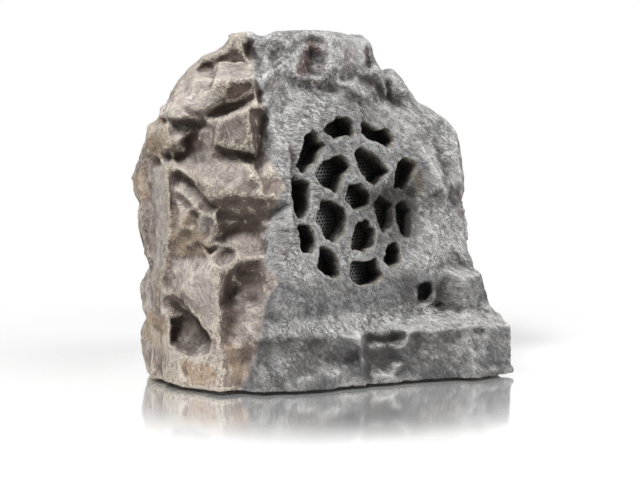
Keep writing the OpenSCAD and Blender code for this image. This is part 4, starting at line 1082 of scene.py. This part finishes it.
def newGroup(name, inputs, outputs):
    tree = bpy.data.node_groups.new(name, "ShaderNodeTree")
    tree.interface.new_socket("Vector", in_out="INPUT", socket_type="NodeSocketVector")
    for label, default in inputs.items():
        socket = tree.interface.new_socket(label, in_out="INPUT", socket_type="NodeSocketFloat")
        socket.default_value = default
    for label in outputs:
        tree.interface.new_socket(label, in_out="OUTPUT", socket_type="NodeSocketFloat")
    return tree, tree.nodes.new("NodeGroupInput").outputs, tree.nodes.new("NodeGroupOutput").inputs


def placeGroup(tree, group, values):
    return addNode(tree, "Group", values, node_tree=group).outputs


def newMaterial(name, roughness=0.5, metallic=0.0, **sockets):
    material = bpy.data.materials.new(name)
    material.use_nodes = True
    tree = material.node_tree
    shader = tree.nodes["Principled BSDF"].inputs
    for key, value in {"Roughness": roughness, "Metallic": metallic, **sockets}.items():
        shader[key].default_value = value
    return material, tree, shader


def wear(obj, material):
    obj.data.materials.clear()
    obj.data.materials.append(material)


# Paint tones of the stone, among them the tones of painted shade and painted highlight
stoneColors = {
    "frontDark": (0.12, 0.115, 0.113), "frontMid": (0.46, 0.455, 0.452),
    "frontLight": (0.72, 0.715, 0.71), "flankDark": (0.165, 0.120, 0.100),
    "flankMid": (0.36, 0.290, 0.252), "flankLight": (0.65, 0.575, 0.52),
    "under": (0.122, 0.088, 0.073), "dark": (0.105, 0.077, 0.066),
    "darkWorn": (0.190, 0.148, 0.130), "rust": (0.165, 0.096, 0.080),
    "ochre": (0.50, 0.36, 0.235), "paleFlank": (0.78, 0.715, 0.665),
    "paleFront": (0.52, 0.515, 0.51), "brushFlank": (0.72, 0.665, 0.545),
    "brushFront": (0.70, 0.69, 0.68), "washFlank": (0.066, 0.048, 0.041),
    "washFront": (0.052, 0.051, 0.052), "bore": (0.022, 0.017, 0.015),
    "lip": (0.20, 0.155, 0.085)}


# Patterns per metre, leans in radians, depth in metres; the rest are shares of the paint and of the
# painted shade
stoneFinish = {
    "broad": 22, "middle": 85, "small": 260, "speck": 900, "crumb": 520,
    "strokeLean": (-0.92, -0.64), "grooveLean": (-1.75, -0.85), "grooveLength": 95.0,
    "grooveWidth": 520.0, "flankReach": 0.09, "frontReach": 0.2, "stain": 0.92, "under": 0.5,
    "brush": 0.85, "flecks": 0.22, "frontFlecks": -0.12, "pits": 0.5, "grime": 0.85, "bore": 0.93,
    "depth": 0.0019, "gloss": 0.28, "roughness": (0.72, 0.92)}


def threeTones(tree, value, tones, reach):
    dark, mid, light = tones
    lower = mixColor(tree, rangeMask(tree, value, 0.5 - reach, 0.5), dark, mid)
    return mixColor(tree, rangeMask(tree, value, 0.5, 0.5 + reach), lower, light)


# Leaning strokes, the flat plates between them and the cracks along them
def strokeGroup():
    tree, given, out = newGroup("chiselStrokes", {"Lean": -0.78, "Length": 200.0, "Width": 400.0},
                                ["Mask", "Plate", "Crack"])
    turned = addNode(tree, "VectorRotate", {"Vector": given["Vector"], "Angle": given["Lean"]},
                     rotation_type="Y_AXIS").outputs[0]
    size = addNode(tree, "CombineXYZ", {"X": given["Length"], "Y": 160.0, "Z": given["Width"]})
    stretched = vectorMath(tree, "MULTIPLY", {0: turned, 1: size.outputs[0]})[0]
    mask = noise(tree, 1.0, 4.0, 0.66, stretched, 1.3)
    tree.links.new(mask, out["Mask"])
    tree.links.new(rangeMask(tree, mask, 0.43, 0.51), out["Plate"])
    line = minus(tree, noise(tree, 0.55, 3.0, 0.6, stretched, 0.5), 0.5)
    line = calculate(tree, "ABSOLUTE", line)
    tree.links.new(rangeMask(tree, line, 0.0, 0.035, 1.0, 0.0), out["Crack"])
    return tree


def stoneMaterial():
    finish = stoneFinish
    material, tree, shader = newMaterial("paintedStone", 0.82,
                                         **{"Specular IOR Level": finish["gloss"]})
    place = objectPlace(tree)
    tone = {name: rgb(*color) for name, color in stoneColors.items()}
    mask = {name: addNode(tree, "Attribute", attribute_name=name).outputs["Fac"]
            for name in ("raised", "relief", "facet", "front", "grimy", "dark", "rust", "ochre",
                         "pale", "lip", "bore")}
    front = mask["front"]
    broad = noise(tree, finish["broad"], 4, 0.6, place, 0.4)
    middle = noise(tree, finish["middle"], 4, 0.62, place, 0.3)
    small = noise(tree, finish["small"], 4, 0.7, place)
    speck = noise(tree, finish["speck"], 2, 0.6, place)
    crumb = noise(tree, finish["crumb"], 3, 0.75, place, 0.6)
    strokes = strokeGroup()
    lean = rangeMask(tree, noise(tree, 9, 1, 0.5, place), 0.3, 0.7, *finish["strokeLean"])
    marks = placeGroup(tree, strokes, {"Vector": place, "Lean": lean})
    steep = rangeMask(tree, noise(tree, 12, 2, 0.5, place), 0.3, 0.7, *finish["grooveLean"])
    grooves = placeGroup(tree, strokes, {"Vector": place, "Lean": steep,
                                         "Length": finish["grooveLength"],
                                         "Width": finish["grooveWidth"]})

    def layer(amount, over):
        nonlocal color
        color = mixColor(tree, amount, color, over)

    def breakUp(amount):
        return times(tree, amount, rangeMask(tree, middle, 0.15, 0.605))

    # front: leaning strokes, with chipped plates between them; flank: steep grooves and crumbs
    mottled = plus(tree, times(tree, broad, 0.35), times(tree, middle, 0.65))
    streaked = plus(tree, times(tree, mottled, 0.3), times(tree, marks["Mask"], 0.7))
    mottled = plus(tree, times(tree, mottled, 0.4),
                   plus(tree, times(tree, crumb, 0.15), times(tree, grooves["Mask"], 0.45)))
    flankTones = [tone[name] for name in ("flankDark", "flankMid", "flankLight")]
    frontTones = [tone[name] for name in ("frontDark", "frontMid", "frontLight")]
    grey = threeTones(tree, streaked, frontTones, finish["frontReach"])
    chipped = times(tree, minus(tree, 1.0, marks["Plate"]),
                    rangeMask(tree, middle, 0.38, 0.62, 0.15, 0.45))
    grey = mixColor(tree, chipped, grey, tone["frontDark"])
    color = mixColor(tree, front, threeTones(tree, mottled, flankTones, finish["flankReach"]), grey)

    pale = mixColor(tree, front, tone["paleFlank"], tone["paleFront"])
    washAndShade = mixColor(tree, front, tone["washFlank"], tone["washFront"])
    brush = mixColor(tree, front, tone["brushFlank"], tone["brushFront"])
    # paler patches: paint, with painted highlight on faces turned to the lamps
    layer(breakUp(mask["pale"]), pale)
    layer(breakUp(mask["ochre"]), tone["ochre"])
    # darker patches: paint, with painted shade in recesses, under overhangs and on faces turned
    # from the lamps
    worn = mixColor(tree, rangeMask(tree, small, 0.4, 0.65), tone["dark"], tone["darkWorn"])
    layer(times(tree, mask["dark"], finish["stain"]), worn)
    layer(breakUp(mask["rust"]), tone["rust"])

    # painted shade on chips that face down, away from the key lamp, and painted highlight on those
    # that face up towards it
    layer(times(tree, rangeMask(tree, mask["facet"], -0.05, -0.5), finish["under"]), tone["under"])
    layer(times(tree, rangeMask(tree, mask["facet"], 0.08, 0.45),
                rangeMask(tree, middle, 0.35, 0.6, 0.2, 0.7)), pale)
    cracks = times(tree, marks["Crack"], rangeMask(tree, broad, 0.4, 0.6, 0.15, 0.8))
    scores = times(tree, grooves["Crack"], rangeMask(tree, middle, 0.4, 0.6, 0.1, 0.6))
    cracks = calculate(tree, "MAXIMUM", times(tree, cracks, front),
                       times(tree, scores, minus(tree, 1.0, front)))
    layer(cracks, washAndShade)

    # darker paint and painted shade in the hollows, a paler dry brush on what stands proud
    low = plus(tree, rangeMask(tree, mask["relief"], -0.1, -0.9),
               rangeMask(tree, mask["raised"], -0.1, -0.8))
    low = times(tree, low, rangeMask(tree, small, 0.3, 0.6, 0.25, 0.7), clamp=True)
    layer(times(tree, low, timesPlus(tree, front, 0.1, 0.7)), washAndShade)
    crest = minus(tree, mask["raised"], times(tree, front, 0.1))
    high = times(tree, rangeMask(tree, crest, 0.26, 0.62), rangeMask(tree, crumb, 0.4, 0.58))
    layer(times(tree, high, finish["brush"]), brush)
    flecks = times(tree, rangeMask(tree, speck, 0.58, 0.72),
                   timesPlus(tree, front, finish["frontFlecks"], finish["flecks"]))
    layer(times(tree, flecks, minus(tree, 1.0, mask["dark"])), brush)
    layer(times(tree, rangeMask(tree, speck, 0.42, 0.30), finish["pits"]), washAndShade)
    # painted shade with some dirt on the low front and the ledge, darker round the driver
    layer(times(tree, mask["grimy"], finish["grime"]), washAndShade)
    layer(times(tree, mask["lip"], rangeMask(tree, small, 0.4, 0.6, 0.1, 0.8)), tone["lip"])
    # painted shade inside the openings
    layer(times(tree, mask["bore"], finish["bore"]), tone["bore"])
    tree.links.new(color, shader["Base Color"])

    height = timesPlus(tree, marks["Mask"], timesPlus(tree, front, 0.8, 0.3), small)
    plates = times(tree, front, rangeMask(tree, broad, 0.35, 0.62, 0.2, 0.65))
    height = timesPlus(tree, marks["Plate"], plates, height)
    height = minus(tree, height, times(tree, cracks, 0.8))
    height = timesPlus(tree, crumb, timesPlus(tree, front, -0.35, 0.7), height)
    height = timesPlus(tree, speck, 0.25, height)
    bumped(tree, shader, height, finish["depth"], 0.9)
    roughness = rangeMask(tree, small, 0.3, 0.7, *finish["roughness"])
    tree.links.new(roughness, shader["Roughness"])
    return material


def bumped(tree, shader, height, distance, strength=0.6):
    bump = addNode(tree, "Bump", {"Strength": strength, "Distance": distance, "Height": height})
    tree.links.new(bump.outputs[0], shader["Normal"])


wear(rock, stoneMaterial())
print("stone painted")


def grainGroup():
    tree, given, out = newGroup("mouldedGrain", {"Scale": 900.0}, ["Tone", "Height"])
    broad = noise(tree, 28, 3, 0.55, given["Vector"])
    fine = noise(tree, given["Scale"], 2, 0.6, given["Vector"])
    tree.links.new(timesPlus(tree, broad, 0.6, times(tree, fine, 0.4)), out["Tone"])
    tree.links.new(fine, out["Height"])
    return tree


def drawnGroup():
    tree, given, out = newGroup("drawnLines", {"Across": 2500.0}, ["Tone", "Height"])
    size = addNode(tree, "CombineXYZ", {"X": 60.0, "Y": given["Across"], "Z": given["Across"]})
    drawn = vectorMath(tree, "MULTIPLY", {0: given["Vector"], 1: size.outputs[0]})[0]
    lines = noise(tree, 1.0, 2, 0.6, drawn)
    cloud = noise(tree, 60, 3, 0.6, given["Vector"])
    tree.links.new(timesPlus(tree, lines, 0.5, times(tree, cloud, 0.5)), out["Tone"])
    tree.links.new(lines, out["Height"])
    return tree


def dustGroup():
    tree, given, out = newGroup("settledDust", {"Amount": 0.3}, ["Mask"])
    patches = rangeMask(tree, noise(tree, 45, 4, 0.65, given["Vector"]), 0.42, 0.68)
    grains = rangeMask(tree, noise(tree, 1500, 2, 0.6, given["Vector"]), 0.4, 0.7)
    mask = times(tree, patches, timesPlus(tree, grains, 0.7, 0.3))
    tree.links.new(times(tree, mask, given["Amount"]), out["Mask"])
    return tree


def weaveGroup():
    tree, given, out = newGroup("wovenThreads", {"Threads": 1500.0}, ["Height", "Tone"])
    scaled = vectorMath(tree, "SCALE", {0: given["Vector"], "Scale": given["Threads"]})[0]
    part = addNode(tree, "SeparateXYZ", {0: scaled}).outputs
    warp, weft = [calculate(tree, "SINE", times(tree, part[axis], math.tau)) for axis in "XZ"]
    tree.links.new(timesPlus(tree, times(tree, warp, weft), 0.5, 0.5), out["Height"])
    tree.links.new(noise(tree, 120, 3, 0.6, given["Vector"]), out["Tone"])
    return tree


effects = {"grain": grainGroup(), "drawn": drawnGroup(), "dust": dustGroup(), "weave": weaveGroup()}
dustColor = rgb(0.33, 0.30, 0.26)


def toned(tree, tone, color, spread):
    low = rgb(*[c * (1 - spread) for c in color])
    high = rgb(*[min(c * (1 + spread), 1.0) for c in color])
    return mixColor(tree, rangeMask(tree, tone, 0.35, 0.65), low, high)


def finished(tree, shader, color, tone, roughness, dust):
    if dust:
        amount = {"Vector": objectPlace(tree), "Amount": dust}
        color = mixColor(tree, placeGroup(tree, effects["dust"], amount)["Mask"], color, dustColor)
    tree.links.new(color, shader["Base Color"])
    cloudy = rangeMask(tree, tone, 0.3, 0.7, roughness - 0.07, roughness + 0.07)
    tree.links.new(cloudy, shader["Roughness"])


# Moulded plastic, rubber and foam: fine grain, faint clouding and settled dust
def moulded(name, color, roughness, grain=1400, depth=0.00005, spread=0.16, dust=0.12, **sockets):
    material, tree, shader = newMaterial(name, roughness, 0.0, **sockets)
    marks = placeGroup(tree, effects["grain"], {"Vector": objectPlace(tree), "Scale": grain})
    tone = marks["Tone"]
    finished(tree, shader, toned(tree, tone, color, spread), tone, roughness, dust)
    bumped(tree, shader, marks["Height"], depth)
    return material


# Rolled, plated or drawn metal: fine lines and cloudy roughness
def metal(name, color, roughness, across=2500, depth=0.00002, spread=0.12, dust=0.08):
    material, tree, shader = newMaterial(name, roughness, 1.0)
    marks = placeGroup(tree, effects["drawn"], {"Vector": objectPlace(tree), "Across": across})
    tone = marks["Tone"]
    finished(tree, shader, toned(tree, tone, color, spread), tone, roughness, dust)
    bumped(tree, shader, marks["Height"], depth, 0.4)
    return material


# Paper and cloth: threads or fibres under a matt tone
def fibrous(name, color, roughness, threads=1200, depth=0.0001, spread=0.2, weave=0.5):
    material, tree, shader = newMaterial(name, roughness)
    place = objectPlace(tree)
    woven = placeGroup(tree, effects["weave"], {"Vector": place, "Threads": threads})["Height"]
    grain = placeGroup(tree, effects["grain"], {"Vector": place, "Scale": 1700.0})
    color = toned(tree, grain["Tone"], color, spread)
    shade = times(tree, rangeMask(tree, woven, 0.5, 0.1), weave * 0.6)
    color = mixColor(tree, shade, color, rgb(0.02, 0.018, 0.015))
    finished(tree, shader, color, grain["Tone"], roughness, 0.0)
    bumped(tree, shader, timesPlus(tree, woven, weave, grain["Height"]), depth)
    return material


# Green solder mask over copper tracks, with tinned pads
def circuitBoard(name, color, roughness):
    material, tree, shader = newMaterial(name, roughness)
    place = objectPlace(tree)
    far, near = [addNode(tree, "TexVoronoi", {"Vector": place, "Scale": 230.0}, feature=feature,
                         distance="CHEBYCHEV").outputs["Distance"] for feature in ("F2", "F1")]
    tracks = rangeMask(tree, minus(tree, far, near), 0.22, 0.26, 1.0, 0.0)
    pads = rangeMask(tree, near, 0.10, 0.08, 0.0, 1.0)
    tone = placeGroup(tree, effects["grain"], {"Vector": place, "Scale": 900.0})["Tone"]
    green = toned(tree, tone, color, 0.15)
    green = mixColor(tree, times(tree, tracks, 0.5), green, rgb(0.05, 0.22, 0.08))
    green = mixColor(tree, pads, green, rgb(0.62, 0.61, 0.58))
    tree.links.new(green, shader["Base Color"])
    tree.links.new(times(tree, pads, 0.9), shader["Metallic"])
    cloudy = rangeMask(tree, tone, 0.3, 0.7, roughness - 0.06, roughness + 0.08)
    tree.links.new(cloudy, shader["Roughness"])
    bumped(tree, shader, plus(tree, tracks, pads), 0.00006)
    return material


# Ground ferrite: grey-black with pale grinding marks and chipped specks
def groundFerrite(name, color, roughness):
    material, tree, shader = newMaterial(name, roughness)
    place = objectPlace(tree)
    lines = placeGroup(tree, effects["drawn"], {"Vector": place, "Across": 900.0})
    grain = placeGroup(tree, effects["grain"], {"Vector": place, "Scale": 800.0})
    specks = times(tree, rangeMask(tree, grain["Height"], 0.6, 0.72), 0.5)
    shade = mixColor(tree, specks, toned(tree, lines["Tone"], color, 0.3), rgb(0.16, 0.16, 0.165))
    finished(tree, shader, shade, grain["Tone"], roughness, 0.1)
    bumped(tree, shader, grain["Height"], 0.00008)
    return material


# Clear acrylic with a faint haze
def clearPlastic(name, color, roughness):
    clear = {"Transmission Weight": 0.9, "IOR": 1.49}
    material, tree, shader = newMaterial(name, roughness, **clear)
    marks = placeGroup(tree, effects["grain"], {"Vector": objectPlace(tree), "Scale": 500.0})
    finished(tree, shader, toned(tree, marks["Tone"], color, 0.06), marks["Tone"], roughness, 0.0)
    bumped(tree, shader, marks["Height"], 0.00002, 0.3)
    return material


# A maker for each slot, with its color in linear light, roughness and other values
finishes = {
    "base_plastic": (moulded, {"color": (0.040, 0.040, 0.043), "roughness": 0.55, "dust": 0.2}),
    "panel_plastic": (moulded, {"color": (0.034, 0.034, 0.037), "roughness": 0.5, "grain": 1100,
                                "depth": 0.00008}),
    "switch_black": (moulded, {"color": (0.03, 0.03, 0.03), "roughness": 0.45, "dust": 0.0}),
    "chip_black": (moulded, {"color": (0.022, 0.022, 0.025), "roughness": 0.6, "grain": 2200,
                             "dust": 0.05}),
    "jack_plastic": (moulded, {"color": (0.02, 0.02, 0.021), "roughness": 0.35, "dust": 0.05}),
    "ivory_plastic": (moulded, {"color": (0.72, 0.68, 0.55), "roughness": 0.45, "spread": 0.06,
                                "dust": 0.05}),
    "plunger_white": (moulded, {"color": (0.75, 0.75, 0.73), "roughness": 0.4, "spread": 0.05,
                                "dust": 0.0}),
    "dust_cap": (moulded, {"color": (0.028, 0.028, 0.028), "roughness": 0.28, "grain": 700,
                           "dust": 0.12, "Coat Weight": 0.4}),
    "led_clear": (moulded, {"color": (0.6, 0.74, 0.88), "roughness": 0.15, "spread": 0.05,
                            "dust": 0.0}),
    "clear_acrylic": (clearPlastic, {"color": (0.86, 0.90, 0.93), "roughness": 0.14}),
    "capacitor_sleeve": (moulded, {"color": (0.03, 0.042, 0.125), "roughness": 0.3, "grain": 600,
                                   "dust": 0.05, "Coat Weight": 0.3}),
    "cell_wrap": (moulded, {"color": (0.045, 0.16, 0.36), "roughness": 0.3, "grain": 500,
                            "dust": 0.06, "Coat Weight": 0.3}),
    "foam_gasket": (moulded, {"color": (0.022, 0.022, 0.022), "roughness": 0.9, "grain": 1900,
                              "depth": 0.00022, "spread": 0.35}),
    "black_rubber": (moulded, {"color": (0.020, 0.020, 0.021), "roughness": 0.72, "grain": 1700,
                               "spread": 0.2, "dust": 0.22}),
    "surround_rubber": (moulded, {"color": (0.016, 0.016, 0.016), "roughness": 0.5,
                                  "dust": 0.15}),
    "button_rubber": (moulded, {"color": (0.060, 0.060, 0.063), "roughness": 0.58, "grain": 1700,
                                "dust": 0.1}),
    "power_rubber": (moulded, {"color": (0.33, 0.038, 0.03), "roughness": 0.58, "grain": 1700,
                               "dust": 0.08}),
    "red_wire": (moulded, {"color": (0.42, 0.03, 0.022), "roughness": 0.42, "grain": 500,
                           "dust": 0.06}),
    "grey_wire": (moulded, {"color": (0.10, 0.10, 0.11), "roughness": 0.45, "grain": 500,
                            "dust": 0.06}),
    "phenolic": (fibrous, {"color": (0.38, 0.21, 0.08), "roughness": 0.45, "threads": 900,
                           "weave": 0.25, "depth": 0.00004}),
    "cone_paper": (fibrous, {"color": (0.040, 0.038, 0.035), "roughness": 0.75, "threads": 320,
                             "weave": 0.2, "depth": 0.00014, "spread": 0.3}),
    "former_paper": (fibrous, {"color": (0.48, 0.32, 0.16), "roughness": 0.7, "threads": 700,
                               "weave": 0.3}),
    "spider_cloth": (fibrous, {"color": (0.53, 0.40, 0.16), "roughness": 0.8, "threads": 1100,
                               "weave": 0.9, "depth": 0.00016}),
    "ferrite": (groundFerrite, {"color": (0.052, 0.052, 0.055), "roughness": 0.6}),
    "circuit_board": (circuitBoard, {"color": (0.018, 0.11, 0.045), "roughness": 0.32}),
    "zinc_screw": (metal, {"color": (0.63, 0.63, 0.65), "roughness": 0.34, "across": 1500}),
    "zinc_steel": (metal, {"color": (0.52, 0.52, 0.54), "roughness": 0.38}),
    "pin_steel": (metal, {"color": (0.58, 0.58, 0.60), "roughness": 0.25, "dust": 0.0}),
    "shield_can": (metal, {"color": (0.58, 0.59, 0.60), "roughness": 0.3, "across": 1200,
                           "dust": 0.0}),
    "heatsink_aluminium": (metal, {"color": (0.66, 0.67, 0.69), "roughness": 0.36,
                                   "across": 3500}),
    "copper": (metal, {"color": (0.60, 0.25, 0.10), "roughness": 0.3, "across": 4200,
                       "depth": 0.00006}),
    "grille_steel": (moulded, {"color": (0.020, 0.020, 0.021), "roughness": 0.42, "grain": 2300,
                               "depth": 0.00003, "dust": 0.18}),
    "basket_steel": (moulded, {"color": (0.030, 0.030, 0.033), "roughness": 0.38, "grain": 800,
                               "depth": 0.00003, "dust": 0.12, "Coat Weight": 0.2}),
}


def camelCase(name):
    first, *rest = name.split("_")
    return first + "".join(word.capitalize() for word in rest)


# Every solid that stays in view gets its slot's finish; the grille's piece has the grille's slot
def dressNodes():
    made = {}
    for obj in nodes.values():
        slot = obj.material_slots[0].material.name
        if slot in finishes:
            if slot not in made:
                maker, settings = finishes[slot]
                made[slot] = maker(camelCase(slot), **settings)
            for holder in obj.material_slots:
                holder.material = made[slot]
    wear(punchedGrille, made["grille_steel"])
    print("finishes made:", len(made))


dressNodes()

# Sizes in metres, power in watts. The floor is glossy near the rock and plain white further off
studio = {"floor": 6.0, "drop": -0.0003, "floorGloss": 0.10, "mirror": 0.85,
          "mirrorReach": (0.32, 0.13), "whiteReach": (0.2, 0.5), "ambient": 0.12,
          "aim": (0, 0, 0.13)}
lamps = {"leftKey": {"power": 19.0, "size": 0.35, "spot": (-0.85, -0.3, 1.2)},
         "rightFill": {"power": 17.5, "size": 0.7, "spot": (1.05, -1.0, 0.6)},
         "overhead": {"power": 6.0, "size": 0.6, "spot": (0.1, -0.5, 1.3)}}
white = rgb(1, 1, 1)


def bareTree(owner):
    owner.use_nodes = True
    owner.node_tree.nodes.clear()
    return owner.node_tree


def addFloor():
    bm = bmesh.new()
    bmesh.ops.create_grid(bm, x_segments=1, y_segments=1, size=studio["floor"])
    bmesh.ops.translate(bm, vec=(0, 0, studio["drop"]), verts=bm.verts[:])
    floor = newObject("floor", bm)
    material = bpy.data.materials.new("paleFloor")
    tree = bareTree(material)
    path = addNode(tree, "LightPath").outputs
    seen = calculate(tree, "MAXIMUM", path["Is Camera Ray"], path["Is Glossy Ray"])
    glow = addNode(tree, "Emission", {"Color": white, "Strength": 1.0}).outputs[0]
    tone = mixColor(tree, seen, rgb(0.3, 0.3, 0.3), rgb(0.9, 0.9, 0.9))
    matt = addNode(tree, "BsdfDiffuse", {"Color": tone}).outputs[0]
    spot = addNode(tree, "Mapping", {"Vector": objectPlace(tree), "Location": (0.0, 0.02, 0.0)})
    reach = vectorMath(tree, "LENGTH", {0: spot.outputs[0]})["Value"]
    share = times(tree, seen, rangeMask(tree, reach, *studio["whiteReach"], 0.1, 1.0))
    lit = addNode(tree, "MixShader", {0: share, 1: matt, 2: glow}).outputs[0]
    far, close = studio["mirrorReach"]
    near = addNode(tree, "MapRange", {"Value": reach, "From Min": far, "From Max": close,
                                      "To Max": studio["mirror"]},
                   interpolation_type="SMOOTHERSTEP").outputs["Result"]
    gloss = addNode(tree, "BsdfGlossy", {"Color": white, "Roughness": studio["floorGloss"]})
    glossy = addNode(tree, "MixShader", {0: near, 1: lit, 2: gloss.outputs[0]}).outputs[0]
    addNode(tree, "OutputMaterial", {"Surface": glossy}, is_active_output=True)
    floor.data.materials.append(material)


def addLamp(name, power, size, spot):
    data = bpy.data.lights.new(name, "AREA")
    data.energy = power
    data.size = size
    obj = bpy.data.objects.new(name, data)
    obj.location = spot
    ahead = Vector(studio["aim"]) - Vector(spot)
    obj.rotation_euler = ahead.to_track_quat("-Z", "Y").to_euler()
    bpy.context.collection.objects.link(obj)


# White to the camera and in reflections, dim as a light
def addWorld():
    world = bpy.data.worlds.new("studio")
    bpy.context.scene.world = world
    tree = bareTree(world)
    path = addNode(tree, "LightPath").outputs
    seen = calculate(tree, "MAXIMUM", path["Is Camera Ray"], path["Is Glossy Ray"])
    seen = calculate(tree, "MAXIMUM", seen, path["Is Transmission Ray"])
    strength = rangeMask(tree, seen, 0.0, 1.0, studio["ambient"], 1.0)
    sky = addNode(tree, "Background", {"Color": white, "Strength": strength}).outputs[0]
    addNode(tree, "OutputWorld", {"Surface": sky})


addFloor()
addWorld()
for name, lamp in lamps.items():
    addLamp(name, **lamp)
bpy.context.scene.view_settings.view_transform = "Standard"
print("studio ready")
